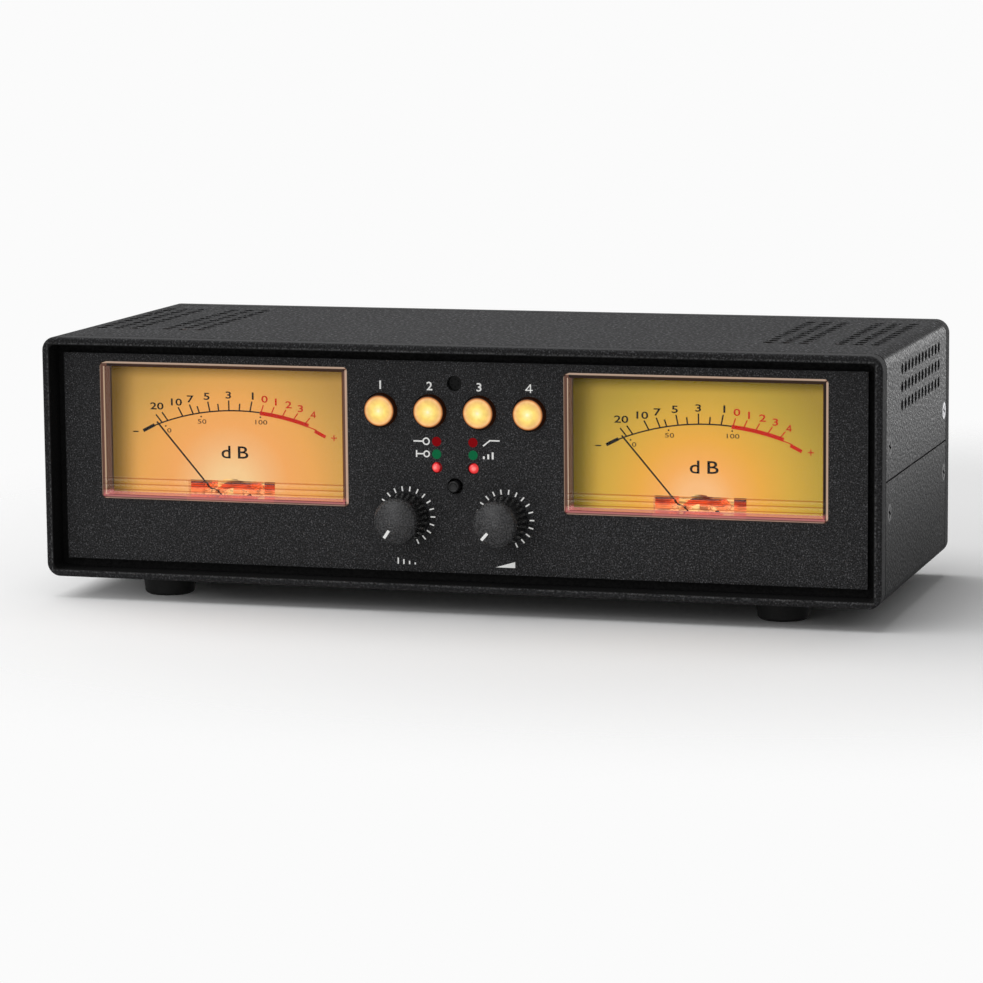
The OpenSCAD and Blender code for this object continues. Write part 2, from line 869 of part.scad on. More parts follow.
module meter_housing(side) {
    seat_w = lens_w + 2 * fit;
    seat_h = lens_h + 2 * fit;
    color([0.09, 0.09, 0.09]) placed() at_meter(side) difference() {
        union() {
            slab(panel_back, housing_d)
                rounded_rect(seat_w + 2 * housing_wall, seat_h + 2 * housing_wall, lens_r + housing_wall);
            block(-chamber_half - housing_wall, chamber_front, chamber_low - meter_z - housing_wall,
                2 * (chamber_half + housing_wall), housing_back - chamber_front,
                meter_z - chamber_low + housing_wall);
            for (s = [-1, 1]) {
                rod(s * ear_x, panel_back, 0, ear_r, ear_t);
                bar(s * (seat_w / 4 + ear_x / 2), panel_back, 0, abs(ear_x - seat_w / 2), ear_t, 2 * ear_r);
            }
        }
        slab(panel_back - 1, dial_behind - panel_back + 1)
            rounded_rect(seat_w, seat_h, lens_r);
        slab(dial_behind - fit, cavity_back - dial_behind + fit)
            rounded_rect(lens_w - 2 * ledge, lens_h - 2 * ledge, lens_r - 1);
        block(-chamber_half, chamber_front + housing_wall, chamber_low - meter_z,
            2 * chamber_half, cavity_back - chamber_front - housing_wall,
            meter_z - chamber_low - lens_h / 2 + ledge + 1);
        for (s = [-1, 1])
            rod(s * ear_x, panel_back - 1, 0, m3_hole_r, ear_t + 2);
        each_terminal()
            rod(0, cavity_back - 1, 0, terminal_r + press_gap, housing_rear_t + 2);
    }
}

module left_meter_housing() { meter_housing(-1); }
module right_meter_housing() { meter_housing(1); }

// Two terminals for the coil, in the chamber, and two that pass through the lamp board
module each_terminal() {
    for (s = [-1, 1]) {
        translate([s * coil_terminal_x, 0, coil_terminal_z - meter_z])
            children();
        translate([s * lamp_terminal_x, 0, lamp_terminal_z - meter_z])
            children();
    }
}

module meter_terminals() {
    tab_w = 2.8;
    collar = 1;
    color([0.8, 0.78, 0.7]) placed()
        for (side = [-1, 1])
            at_meter(side)
                each_terminal() {
                    rod(0, cavity_back - lamp_board_t, 0, terminal_r, housing_rear_t + lamp_board_t + collar);
                    rod(0, housing_back, 0, 2, collar);
                    bar(0, housing_back + collar - 0.2, 0, tab_w, terminal_l - collar + 0.2, terminal_tab_t);
                }
}

module meter_lamps(side) {
    color([0.95, 0.9, 0.8]) placed() at_meter(side) difference() {
        union() {
            bar(0, cavity_back - lamp_board_t, lamp_board_rise, lamp_board_w, lamp_board_t, lamp_board_h);
            for (k = [-1 : 1])
                bar(k * 22, cavity_back - lamp_board_t - meter_lamp_h, lamp_board_rise,
                    meter_lamp, meter_lamp_h, meter_lamp);
        }
        each_terminal()
            rod(0, cavity_back - lamp_board_t - 1, 0, terminal_r + press_gap, lamp_board_t + 2);
    }
}

module left_meter_lamps() { meter_lamps(-1); }
module right_meter_lamps() { meter_lamps(1); }

module at_pivot(side) {
    translate([side * meter_x, 0, pivot_z])
        children();
}

module movement(side) {
    web_w = 2.4;
    leg_r = 0.9;
    leg_at = (ring_r + ring_bore_r) / 2;
    jewel_r = 0.9;
    strap_w = 3;
    post_in = ring_r + 1;
    post_w = dial_window_w / 2 - post_in;
    plate_low = -3.5;
    post_top = lens_h / -2 + dial_window_h + pivot_drop;
    color([0.55, 0.33, 0.22]) placed() at_pivot(side) {
        // Magnet ring, and the core on two webs that stay outside the coil's swing
        difference() {
            rod(0, ring_front, 0, ring_r, core_l);
            rod(0, ring_front - 1, 0, ring_bore_r, core_l + 2);
        }
        rod(0, ring_front, 0, core_r, core_l);
        for (s = [-1, 1])
            bar(0, ring_front + 0.8, s * (core_r + ring_bore_r) / 2, web_w, core_l - 1.6,
                ring_bore_r - core_r + 1);
        // Rear plate on two legs, with the rear jewel, and two posts that stand behind the dial's window
        for (s = [-1, 1]) {
            rod(s * leg_at, ring_back - 0.3, 0, leg_r, plate_front - ring_back + 0.6);
            bar(s * (post_in + post_w / 2), ring_front - 1.5, (post_top + plate_low) / 2, post_w,
                plate_front + plate_t - ring_front + 1.5, post_top - plate_low);
        }
        difference() {
            bar(0, plate_front, (post_top + plate_low) / 2, dial_window_w, plate_t, post_top - plate_low);
            rod(0, plate_front - 1, 0, pin_r + run_fit, 1.5);
        }
        // Feet that carry the plate on the housing's rear wall
        for (s = [-1, 1])
            rod(s * leg_at, plate_front + plate_t - 0.2, 0, 1.4, cavity_back - plate_front - plate_t + 0.2);
        // Front bridge: a leg below the swing and a strap up to the front jewel
        rod(0, hub_front - 1.2, -leg_at, leg_r, ring_front - hub_front + 1.5);
        difference() {
            union() {
                bar(0, hub_front - 1.2, -leg_at / 2, strap_w, 0.8, leg_at + strap_w);
                rod(0, hub_front - 1.6, 0, jewel_r, 1.2);
            }
            rod(0, hub_front - 1, 0, pin_r + run_fit, 2);
        }
    }
}

module left_movement() { movement(-1); }
module right_movement() { movement(1); }

// Needle, hub, counterweights, pivots and coil: one moving piece, drawn with the needle straight up
module needle(side) {
    coil_in = core_r + coil_gap;
    coil_front = ring_front - coil_gap - coil_bar;
    coil_back = ring_back + coil_gap + coil_bar;
    hub_r = 1.4;
    weight_arm = 4.6;
    weight_r = 1.3;
    weight_l = 1.8;
    color([0.12, 0.1, 0.09]) placed() at_pivot(side)
        rotate([0, -needle_rest, 0]) {
            // Coil: a flat rectangular winding round the core
            difference() {
                bar(0, coil_front, 0, 2 * (coil_in + coil_bar), coil_back - coil_front, 2 * coil_half);
                bar(0, coil_front + coil_bar, 0, 2 * coil_in, coil_back - coil_front - 2 * coil_bar,
                    2 * coil_half + 2);
            }
            // Hub with its two pivot pins
            rod(0, hub_front, 0, hub_r, coil_front - hub_front + 0.2);
            rod(0, hub_front - 0.7, 0, pin_r, 0.9);
            rod(0, coil_back - 0.2, 0, 0.6, 0.5);
            rod(0, coil_back, 0, pin_r, plate_front - coil_back + 0.4);
            // Counterweights on two short arms
            for (a = [-1, 1])
                rotate([0, 180 + 38 * a, 0]) {
                    bar(0, hub_front, weight_arm / 2, 0.5, hub_t, weight_arm);
                    rod(0, hub_front, weight_arm, weight_r, weight_l);
                }
            // Needle: out behind the dial, forward through its window and up in front of it
            rotate([90, 0, 90])
                translate([0, 0, -needle_w / 2])
                    linear_extrude(height = needle_w)
                        polygon([[hub_front, 0], [hub_front, bend_in_r], [needle_plane, bend_out_r],
                            [needle_plane, needle_l], [needle_plane + needle_t, needle_l],
                            [needle_plane + needle_t, bend_out_r + 0.1],
                            [hub_front + needle_t, bend_in_r + 0.1], [hub_front + needle_t, 0]]);
        }
}

module left_needle() { needle(-1); }
module right_needle() { needle(1); }

// Flat spiral between the coil and the rear plate, with its outer end on the plate
module hairspring(side) {
    inner_r = 0.9;
    pitch = 0.7;
    band = 0.2;
    width = 0.25;
    steps = spring_turns * 16;
    spring_y = plate_front - 0.3 - width;
    outer_r = inner_r + spring_turns * pitch;
    function spiral(r, i) = (r + i / steps * spring_turns * pitch)
        * [cos(i / steps * spring_turns * 360), sin(i / steps * spring_turns * 360)];
    color([0.85, 0.7, 0.4]) placed() at_pivot(side) {
        slab(spring_y, width)
            polygon(concat([for (i = [0 : steps]) spiral(inner_r, i)],
                [for (i = [steps : -1 : 0]) spiral(inner_r + band, i)]));
        rod(outer_r + band / 2, spring_y, 0, 0.35, plate_front - spring_y);
    }
}

module left_hairspring() { hairspring(-1); }
module right_hairspring() { hairspring(1); }

// ---- Controls ----

function button_x(i) = (i - 1.5) * button_pitch;

module selector_button(i) {
    r = button_d / 2;
    face = panel_depth - button_proud;
    flange_y = panel_back + button_travel;
    color([1, 0.82, 0.4]) placed() turned(button_x(i), mid_z + button_rise)
        polygon([[0, face], [r * 0.45, face + 0.04], [r * 0.75, face + 0.14], [r - 0.35, face + 0.32],
            [r - 0.1, face + 0.5], [r, face + 0.8], [r, flange_y], [r + button_flange_w, flange_y],
            [r + button_flange_w, flange_y + button_flange], [stem_r, flange_y + button_flange],
            [stem_r, stem_end], [0, stem_end]]);
}

module selector_button_1() { selector_button(0); }
module selector_button_2() { selector_button(1); }
module selector_button_3() { selector_button(2); }
module selector_button_4() { selector_button(3); }

// A tact switch's case on the control board, open for the stem of its button
module switch_case(x, z, bore_r) {
    difference() {
        bar(x, switch_y, z, switch_w, switch_h, switch_w);
        rod(x, switch_y - 1, z, bore_r, stem_end - switch_y + 1 + button_travel + fit);
    }
}

module selector_switches() {
    color([0.12, 0.12, 0.12]) placed()
        for (i = [0 : 3])
            switch_case(button_x(i), mid_z + button_rise, stem_r + run_fit);
}

module mode_button() {
    face = panel_depth - mode_proud;
    color([0.08, 0.08, 0.08]) placed() turned(0, mid_z + mode_rise)
        polygon([[0, face + mode_dish], [mode_d * 0.28, face + mode_dish * 0.8], [mode_d * 0.38, face],
            [mode_d / 2 - 0.25, face], [mode_d / 2, face + 0.25], [mode_d / 2, stem_end], [0, stem_end]]);
}

module mode_switch() {
    color([0.12, 0.12, 0.12]) placed()
        switch_case(0, mid_z + mode_rise, mode_d / 2 + run_fit);
}

module knob(x, angle) {
    r = knob_d / 2;
    base_r = r + knob_flare;
    shaft_hole = shaft_end - 0.1;
    color([0.09, 0.09, 0.09]) placed() difference() {
        turned(x, mid_z + knob_rise)
            polygon([[0, knob_face_y + 0.15], [r * 0.6, knob_face_y + 0.1], [r - knob_edge_r, knob_face_y],
                [r - knob_edge_r * 0.3, knob_face_y + knob_edge_r * 0.3], [r, knob_face_y + knob_edge_r],
                [base_r, knob_back_y - knob_edge_r], [base_r - knob_edge_r / 2, knob_back_y],
                [knob_recess_r, knob_back_y], [knob_recess_r, knob_back_y - knob_recess],
                [shaft_d / 2 + press_gap, knob_back_y - knob_recess], [shaft_d / 2 + press_gap, shaft_hole],
                [0, shaft_hole]]);
        translate([x, 0, mid_z + knob_rise])
            rotate([0, angle, 0])
                bar(0, knob_face_y - 1, (pointer_in + r - 0.4) / 2, pointer_w, 1 + pointer_depth,
                    r - 0.4 - pointer_in);
    }
}

module left_knob() { knob(-knob_x, left_knob_angle); }
module right_knob() { knob(knob_x, right_knob_angle); }

module knob_shaft(side) {
    color([0.75, 0.75, 0.77]) placed()
        rod(side * knob_x, shaft_end, mid_z + knob_rise, shaft_d / 2, shaft_back - shaft_end);
}

module left_knob_shaft() { knob_shaft(-1); }
module right_knob_shaft() { knob_shaft(1); }

module pot(side) {
    color([0.45, 0.47, 0.5]) placed() translate([side * knob_x, 0, mid_z + knob_rise]) difference() {
        union() {
            bar(0, panel_back, -0.7, pot_w, board_gap, pot_h);
            rod(0, panel_depth - bush_proud, 0, bush_r, panel_t + bush_proud + 1);
        }
        rod(0, panel_depth - bush_proud - 1, 0, shaft_d / 2 + run_fit,
            shaft_back + fit - panel_depth + bush_proud + 1);
    }
}

module left_pot() { pot(-1); }
module right_pot() { pot(1); }

module level_lamps() {
    r = lamp_d / 2;
    nose = panel_depth - 0.9;
    color([0.95, 0.1, 0.08]) placed()
        for (side = [-1, 1])
            translate([side * lamp_x, 0, mid_z + lamp_rise]) {
                turned(0, 0)
                    polygon(concat([for (a = [0 : 15 : 90]) [r * sin(a), nose + r * (1 - cos(a))]],
                        [[r, lamp_flange_y], [r + 0.4, lamp_flange_y], [r + 0.4, lamp_flange_y + 1],
                            [0, lamp_flange_y + 1]]));
                for (s = [-1, 1])
                    bar(s * 1.27, lamp_flange_y + 0.8, 0, 0.5, board_y - lamp_flange_y - 0.8, 0.5);
            }
}

module microphone() {
    sleeve_r = mic_d / 2 + 1;
    capsule_r = mic_d / 2 - 0.15;
    front = panel_depth + mic_recess;
    back = panel_back + 3.8;
    color([0.07, 0.07, 0.07]) placed() translate([0, 0, mid_z + mic_rise]) {
        difference() {
            rod(0, panel_back, 0, sleeve_r, back - panel_back);
            rod(0, panel_back - 1, 0, capsule_r + press_gap, back - panel_back + 2);
        }
        difference() {
            rod(0, front, 0, capsule_r, back - front);
            for (k = [0 : 5])
                rotate([0, 60 * k, 0])
                    rod(0, front - 1, 1.1, 0.25, 1.3);
        }
        for (s = [-1, 1])
            bar(s * 1, back - 0.2, 0, 0.5, board_y - back + 0.2, 0.5);
    }
}

module each_spacer() {
    for (sx = [-1, 1], sz = [-1, 1])
        translate([sx * spacer_x, 0, mid_z + sz * spacer_z])
            children();
}

module board_spacers() {
    color([0.8, 0.7, 0.35]) placed()
        each_spacer()
            hex_nut(0, panel_back, 0, 4.6, board_gap, m2_tap_r);
}

module control_board() {
    color([0.1, 0.32, 0.16]) placed() {
        difference() {
            slab(board_y, board_t)
                translate([0, mid_z])
                    square([control_w, control_h], center = true);
            each_spacer()
                rod(0, board_y - 1, 0, m2_r + fit, board_t + 2);
        }
        header(0, control_cable_z, header_w);
    }
}

// A pin header on the control board's back
module header(x, z, w) {
    bar(x, board_back - 0.1, z, w, header_h + 0.1, 5);
}

module control_board_screws() {
    color([0.75, 0.75, 0.77]) placed()
        each_spacer()
            translate([0, board_back, 0])
                rotate([90, 0, 0])
                    cross_screw(m2_r, board_t + 4, 1.9, 1.2);
}

// ---- Inside ----

module each_standoff() {
    for (x = [standoff_inset - main_w / 2, header_w / 2 + 4, main_w / 2 - standoff_inset],
            y = [main_front + standoff_inset, main_back - standoff_back])
        translate([x, y, 0])
            children();
}

module main_board() {
    color([0.1, 0.32, 0.16]) placed() {
        difference() {
            block(-main_w / 2, main_front, board_z, main_w, main_d, board_t);
            each_standoff()
                translate([0, 0, board_z - 1])
                    cylinder(r = m3_hole_r, h = board_t + 2);
        }
        for (x = [-meter_x, 0, meter_x])
            block(x - header_w / 2, cable_land_y - 2.5, deck_z - 0.1, header_w, 5, header_h + 0.1);
    }
}

module main_board_standoffs() {
    color([0.8, 0.7, 0.35]) placed()
        each_standoff()
            translate([0, 0, floor_z])
                difference() {
                    cylinder(r = nut_af / 2 / cos(30), h = standoff_h, $fn = 6);
                    translate([0, 0, -1])
                        cylinder(r = m3_tap_r, h = standoff_h + 2);
                }
}

// Screws from above into the standoffs, and from below through the bottom cover
module main_board_screws() {
    color([0.75, 0.75, 0.77]) placed()
        each_standoff() {
            translate([0, 0, deck_z])
                rotate([180, 0, 0])
                    cross_screw(m3_r, board_t + standoff_h / 2 - 0.6, 2.7, 1.8);
            cross_screw(m3_r, shell_t + standoff_h / 2 - 0.6, 2.7, 1.8);
        }
}

// A strip t thick along a path of points
module band(path, t) {
    last = len(path) - 1;
    n = [for (i = [1 : last]) let (d = path[i] - path[i - 1]) [-d[1], d[0]] / norm(d)];
    polygon(concat(path, [for (i = [last : -1 : 0])
        let (a = n[max(i - 1, 0)], b = n[min(i, last - 1)]) path[i] + t * (a + b) / (1 + a * b)]));
}

// A ribbon cable in one sweep from the front down to a header on the main board
module cable(x, w, from_y, from_z) {
    slack = 2.5;
    land_z = deck_z + header_h;
    translate([x - w / 2, 0, 0])
        rotate([90, 0, 90])
            linear_extrude(height = w)
                band([[from_y, from_z], [from_y + slack, from_z], [cable_land_y - strip_t / 2, land_z + slack],
                    [cable_land_y - strip_t / 2, land_z]], strip_t);
}

module ribbon_cables() {
    tab_y = housing_back + terminal_l - 2;
    tab_rise = terminal_tab_t / 2;
    color([0.5, 0.5, 0.52]) placed() {
        cable(0, header_w - 2, board_back + header_h, control_cable_z);
        for (side = [-1, 1], s = [-1, 1]) {
            cable(side * meter_x + s * coil_terminal_x, 2.4, tab_y, coil_terminal_z + tab_rise);
            cable(side * meter_x + s * lamp_terminal_x, 2.4, tab_y, lamp_terminal_z + tab_rise);
        }
    }
}

module relays() {
    color([0.13, 0.13, 0.15]) placed()
        for (i = [0 : 3])
            block(relay_x + i * relay_pitch, relay_y, deck_z, relay_w, relay_d, relay_d);
}

module capacitors() {
    color([0.12, 0.14, 0.3]) placed() {
        for (i = [0 : 4])
            translate([jack_mid_x + (i - 2) * jack_pitch, capacitor_y, deck_z]) {
                cylinder(r = capacitor_r, h = capacitor_h);
                translate([capacitor_step, 0, 0])
                    cylinder(r = 0.8 * capacitor_r, h = 0.64 * capacitor_h);
            }
        for (s = [0, 1])
            translate([inlet_x - filter_x + s * filter_pitch, filter_y, deck_z])
                cylinder(r = filter_r, h = filter_h);
    }
}

module chips() {
    color([0.1, 0.1, 0.1]) placed() {
        for (i = [0 : 3])
            block(main_w / 2 - chip_inset, chip_y + i * chip_pitch, deck_z, chip_w, chip_d, chip_h);
        for (i = [0, 1])
            block(regulator_inset - main_w / 2 + i * regulator_pitch, regulator_y, deck_z,
                regulator_w, regulator_d, regulator_h);
    }
}

// ---- Rear fittings ----

function jack_x(i) = jack_mid_x + (i - (jack_pairs - 1) / 2) * jack_pitch;
function inlet_z() = deck_z + inlet_h / 2;

module each_jack() {
    for (i = [0 : jack_pairs - 1], k = [0, 1])
        translate([jack_x(i), 0, jack_low_z + k * jack_rise])
            children();
}

module jack_blocks() {
    color([0.1, 0.1, 0.1]) placed() difference() {
        for (i = [0 : jack_pairs - 1])
            block(jack_x(i) - jack_block_w / 2, rear_inner - jack_block_d, deck_z,
                jack_block_w, jack_block_d, jack_foot + jack_rise + jack_top);
        each_jack()
            rod(0, rear_inner - jack_seat, 0, jack_d / 2 + jack_shoulder + press_gap, jack_seat + 1);
    }
}

module jack_sleeves() {
    color([0.82, 0.82, 0.84]) placed()
        each_jack()
            difference() {
                union() {
                    rod(0, rear_inner - jack_seat, 0, jack_d / 2 + jack_shoulder, jack_seat + rear_t);
                    rod(0, rear_inner, 0, jack_d / 2, rear_t + jack_l);
                }
                rod(0, insulator_y, 0, insulator_r + press_gap, jack_seat + rear_t + jack_l);
            }
}

module jack_insulators() {
    color([0.85, 0.85, 0.83]) placed()
        each_jack()
            difference() {
                rod(0, insulator_y, 0, insulator_r, insulator_mouth - insulator_y);
                rod(0, rear_inner, 0, contact_r, rear_t + jack_l);
            }
}

module inlet_jack() {
    barrel_r = inlet_w / 2 - 0.5;
    barrel_end = rear_face + 0.5;
    color([0.1, 0.1, 0.1]) placed() {
        difference() {
            union() {
                bar(inlet_x, rear_inner - inlet_depth, inlet_z(), inlet_w, inlet_depth, inlet_h);
                rod(inlet_x, rear_inner - 1, inlet_z(), barrel_r, barrel_end - rear_inner + 1);
            }
            rod(inlet_x, barrel_end - inlet_socket_l, inlet_z(), inlet_d / 2, inlet_socket_l + 1);
        }
        rod(inlet_x, barrel_end - inlet_socket_l - 1, inlet_z(), inlet_pin_r, inlet_socket_l - 0.5);
    }
}

module power_switch() {
    body_w = rocker_w + 2.8;
    body_l = rocker_l + 2.4;
    pocket = 7;
    color([0.08, 0.08, 0.08]) placed() difference() {
        union() {
            bar(rocker_x, rear_face - rocker_body_d, rocker_z, body_w, rocker_body_d + 0.5, body_l);
            bar(rocker_x, rear_face, rocker_z, body_w + 2.4, rocker_flange, body_l + 2.4);
        }
        bar(rocker_x, rear_face + rocker_flange - pocket, rocker_z, rocker_w + 0.4, pocket + 1, rocker_l);
        translate([rocker_x - rocker_w / 2 - 0.9, rocker_pivot_y, rocker_z])
            rotate([0, 90, 0])
                cylinder(r = 1.2 + run_fit, h = rocker_w + 1.8);
    }
}

// The rocker rests tilted, its lower half pressed in
module power_rocker() {
    half = rocker_l / 2 - 0.9;
    color([0.1, 0.1, 0.1]) placed()
        translate([rocker_x, rocker_pivot_y, rocker_z])
            rotate([-rocker_tilt, 0, 0]) {
                translate([-rocker_w / 2, 0, 0])
                    rotate([90, 0, 90])
                        linear_extrude(height = rocker_w)
                            polygon([[1.7, 0], [2.4, half * 0.5], [3.1, half], [1, half], [-2.2, half * 0.5],
                                [-3.2, 0], [-2.2, -half * 0.5], [1, -half], [3.1, -half], [2.4, -half * 0.5]]);
                translate([-rocker_w / 2 - 0.7, 0, 0])
                    rotate([0, 90, 0])
                        cylinder(r = 1.2, h = rocker_w + 1.4);
            }
}

front_bezel();
front_panel();
top_cover();
bottom_cover();
rear_bezel();
rear_panel();
feet();
foot_screws();
foot_nuts();
case_screws_black();
case_screws_silver();
rear_panel_screws();
panel_nuts();
left_meter_lens();
right_meter_lens();
left_meter_dial();
right_meter_dial();
left_meter_housing();
right_meter_housing();
left_needle();
right_needle();
left_movement();
right_movement();
left_hairspring();
right_hairspring();
left_meter_lamps();
right_meter_lamps();
meter_terminals();
selector_button_1();
selector_button_2();
selector_button_3();
selector_button_4();
selector_switches();
mode_button();
mode_switch();
left_knob();
right_knob();
left_knob_shaft();
right_knob_shaft();
left_pot();
right_pot();
level_lamps();
microphone();
control_board();
board_spacers();
control_board_screws();
main_board();
main_board_standoffs();
main_board_screws();
jack_blocks();
jack_sleeves();
jack_insulators();
inlet_jack();
power_switch();
power_rocker();
relays();
capacitors();
chips();
ribbon_cables();
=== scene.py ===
"""Dual needle level meter: finishes, prints, lit parts, studio and camera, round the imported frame.

Lengths are written in millimetres and turned into metres by MM. Places come from the frame: node
boxes and joint positions. On a face that looks to the front, (x, z) is to the right and up.
"""
import json
import math

import bmesh
import bpy
from mathutils import Matrix, Vector


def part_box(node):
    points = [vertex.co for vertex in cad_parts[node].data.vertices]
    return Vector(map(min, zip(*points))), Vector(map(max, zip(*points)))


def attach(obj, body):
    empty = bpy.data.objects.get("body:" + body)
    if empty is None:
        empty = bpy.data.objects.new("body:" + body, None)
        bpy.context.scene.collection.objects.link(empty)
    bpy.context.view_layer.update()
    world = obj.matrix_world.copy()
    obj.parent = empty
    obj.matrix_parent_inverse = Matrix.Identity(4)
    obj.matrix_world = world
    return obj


MM = 0.001
PER_MM = 1000

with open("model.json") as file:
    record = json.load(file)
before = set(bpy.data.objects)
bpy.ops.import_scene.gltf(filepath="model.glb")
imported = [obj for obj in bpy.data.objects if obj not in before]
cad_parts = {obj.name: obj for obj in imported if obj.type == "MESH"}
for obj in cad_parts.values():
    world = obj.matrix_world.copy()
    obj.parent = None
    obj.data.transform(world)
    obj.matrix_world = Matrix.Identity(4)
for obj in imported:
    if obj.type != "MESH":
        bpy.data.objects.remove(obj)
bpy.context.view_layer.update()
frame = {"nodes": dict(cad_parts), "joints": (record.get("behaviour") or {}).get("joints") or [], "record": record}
joints = {joint["name"]: joint for joint in frame["joints"]}


def middle(name):
    """Middle of a CAD node's box, in metres."""
    low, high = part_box(name)
    return (Vector(low) + Vector(high)) / 2


def pivot(name):
    return Vector(joints[name]["pos_m"])


def extent(name):
    """Width, depth and height of a CAD node's box, in millimetres."""
    low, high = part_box(name)
    return (Vector(high) - Vector(low)) / MM


PANEL_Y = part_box("front_panel")[0][1]
DIAL_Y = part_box("left_meter_dial")[0][1]
LENS_W, _, LENS_H = extent("left_meter_lens")
LENS_WALL = 1.1
# Width of the front bezel's lip, and radius of a button and of a level lamp, in millimetres
BEZEL_LIP = 2.2
BUTTON_R = 4.6
LAMP_R = 1.5
SIDES = ("left", "right")


# ---- Node helpers ----

def srgb(red, green, blue):
    """A colour written as 0 to 255, as the linear colour that the shader takes."""
    def linear(value):
        value /= 255
        return value / 12.92 if value <= 0.04045 else ((value + 0.055) / 1.055) ** 2.4
    return (linear(red), linear(green), linear(blue), 1)


def grey(value):
    return (value, value, value, 1)


def scaled(color, factor):
    return (color[0] * factor, color[1] * factor, color[2] * factor, 1)


def add_node(tree, kind, inputs=None, **settings):
    made = tree.nodes.new(kind)
    for key, value in settings.items():
        setattr(made, key, value)
    for key, value in (inputs or {}).items():
        made.inputs[key].default_value = value
    return made


def principled(name, **inputs):
    """A new material, its node tree and its shader; inputs use underscores for spaces."""
    material = bpy.data.materials.new(name)
    material.use_nodes = True
    tree = material.node_tree
    shader = tree.nodes["Principled BSDF"]
    for key, value in inputs.items():
        shader.inputs[key.replace("_", " ")].default_value = value
    return material, tree, shader


def place(tree, offset=(0, 0, 0), scale=(1, 1, 1)):
    """Object coordinates, moved so that offset is the origin, then scaled."""
    coords = add_node(tree, "ShaderNodeTexCoord")
    shift = add_node(tree, "ShaderNodeVectorMath", operation="SUBTRACT")
    shift.inputs[1].default_value = offset
    size = add_node(tree, "ShaderNodeVectorMath", operation="MULTIPLY")
    size.inputs[1].default_value = scale
    tree.links.new(coords.outputs["Object"], shift.inputs[0])
    tree.links.new(shift.outputs[0], size.inputs[0])
    return size.outputs[0]


def number(tree, operation, first, second=0.0):
    """A sum, product or other function of two values, each a number or an output."""
    made = add_node(tree, "ShaderNodeMath", operation=operation)
    for socket, value in zip(made.inputs, (first, second)):
        if isinstance(value, (int, float)):
            socket.default_value = value
        else:
            tree.links.new(value, socket)
    return made.outputs[0]


def fade(tree, value, low, high, start=0.0, end=1.0):
    """start where value is below low, end where it is above high, and smooth between them."""
    limits = {"From Min": low, "From Max": high, "To Min": start, "To Max": end}
    made = add_node(tree, "ShaderNodeMapRange", limits, interpolation_type="SMOOTHSTEP")
    tree.links.new(value, made.inputs["Value"])
    return made.outputs["Result"]


def axes(tree, vector):
    made = add_node(tree, "ShaderNodeSeparateXYZ")
    tree.links.new(vector, made.inputs[0])
    return tuple(made.outputs)


def past_edge(tree, x, z, half_width, half_height):
    """How far a point lies outside a rectangle round the origin, below 0 inside it."""
    beside = number(tree, "SUBTRACT", number(tree, "ABSOLUTE", x), half_width)
    above = number(tree, "SUBTRACT", number(tree, "ABSOLUTE", z), half_height)
    return number(tree, "MAXIMUM", beside, above)


def noise(tree, grain, detail=2.0, vector=None):
    """Noise whose features are grain millimetres across."""
    made = add_node(tree, "ShaderNodeTexNoise", {"Scale": 1 / (grain * MM), "Detail": detail})
    tree.links.new(vector or place(tree), made.inputs["Vector"])
    return made.outputs["Fac"]


def ramp(tree, factor, stops, interpolation="LINEAR"):
    """A colour ramp: stops are (position, colour)."""
    made = add_node(tree, "ShaderNodeValToRGB")
    made.color_ramp.interpolation = interpolation
    elements = made.color_ramp.elements
    while len(elements) < len(stops):
        elements.new(0.5)
    for element, (position, color) in zip(elements, stops):
        element.position = position
        element.color = color
    tree.links.new(factor, made.inputs["Fac"])
    return made.outputs["Color"]


def distance(tree, vector):
    """Distance from the origin of a vector output."""
    made = add_node(tree, "ShaderNodeVectorMath", operation="LENGTH")
    tree.links.new(vector, made.inputs[0])
    return made.outputs["Value"]


def mix(tree, factor, first, second, blend="MIX"):
    made = add_node(tree, "ShaderNodeMix", data_type="RGBA", blend_type=blend)
    for name, value in (("Factor", factor), ("A", first), ("B", second)):
        socket = made.inputs[name]
        if isinstance(value, (int, float, tuple)):
            socket.default_value = value
        else:
            tree.links.new(value, socket)
    return made.outputs["Result"]


def bump(tree, shader, height, depth):
    """Makes the surface look raised by depth millimetres where height is 1."""
    made = add_node(tree, "ShaderNodeBump", {"Strength": 1.0, "Distance": depth * MM})
    tree.links.new(height, made.inputs["Height"])
    tree.links.new(made.outputs["Normal"], shader.inputs["Normal"])


# ---- Materials ----

# How strongly the paints mirror their surroundings
PAINT_GLOSS = 0.14
# Heights between which the covers' sides go from dull and darkened by painted shade to glossy, in millimetres
SIDE_SHADE = (6, 62)
# How far a knob's face seems to fall from its axis to its rim, in millimetres
KNOB_CROWN = 4.8


def painted(tree, shader, color, grain, contrast, roughness, depth, duller=None):
    """Textured paint: grains that vary in tone, gloss and height, with bright specks painted in as glints.

    duller is an output that is added to the roughness. The paint's colour is given back.
    """
    grains = noise(tree, grain, detail=1)
    specks = noise(tree, grain * 0.8, detail=0)
    tones = ramp(tree, grains, [(0.4, scaled(color, 1 - contrast)), (0.5, color),
                                (0.62, scaled(color, 1 + 1.8 * contrast))])
    # painted highlight: bright specks in the colour stand in for glints of light on the grains
    glints = ramp(tree, specks, [(0.58, grey(1.0)), (0.7, grey(1.0 + 3 * contrast))])
    clouds = ramp(tree, noise(tree, 45), [(0.3, grey(0.93)), (0.7, grey(1.07))])
    gloss = ramp(tree, grains, [(0.4, grey(roughness - 0.1)), (0.62, grey(roughness + 0.08))])
    if duller is not None:
        gloss = number(tree, "ADD", gloss, duller)
    tree.links.new(gloss, shader.inputs["Roughness"])
    bump(tree, shader, grains, depth)
    return mix(tree, 1.0, mix(tree, 1.0, tones, glints, "MULTIPLY"), clouds, "MULTIPLY")


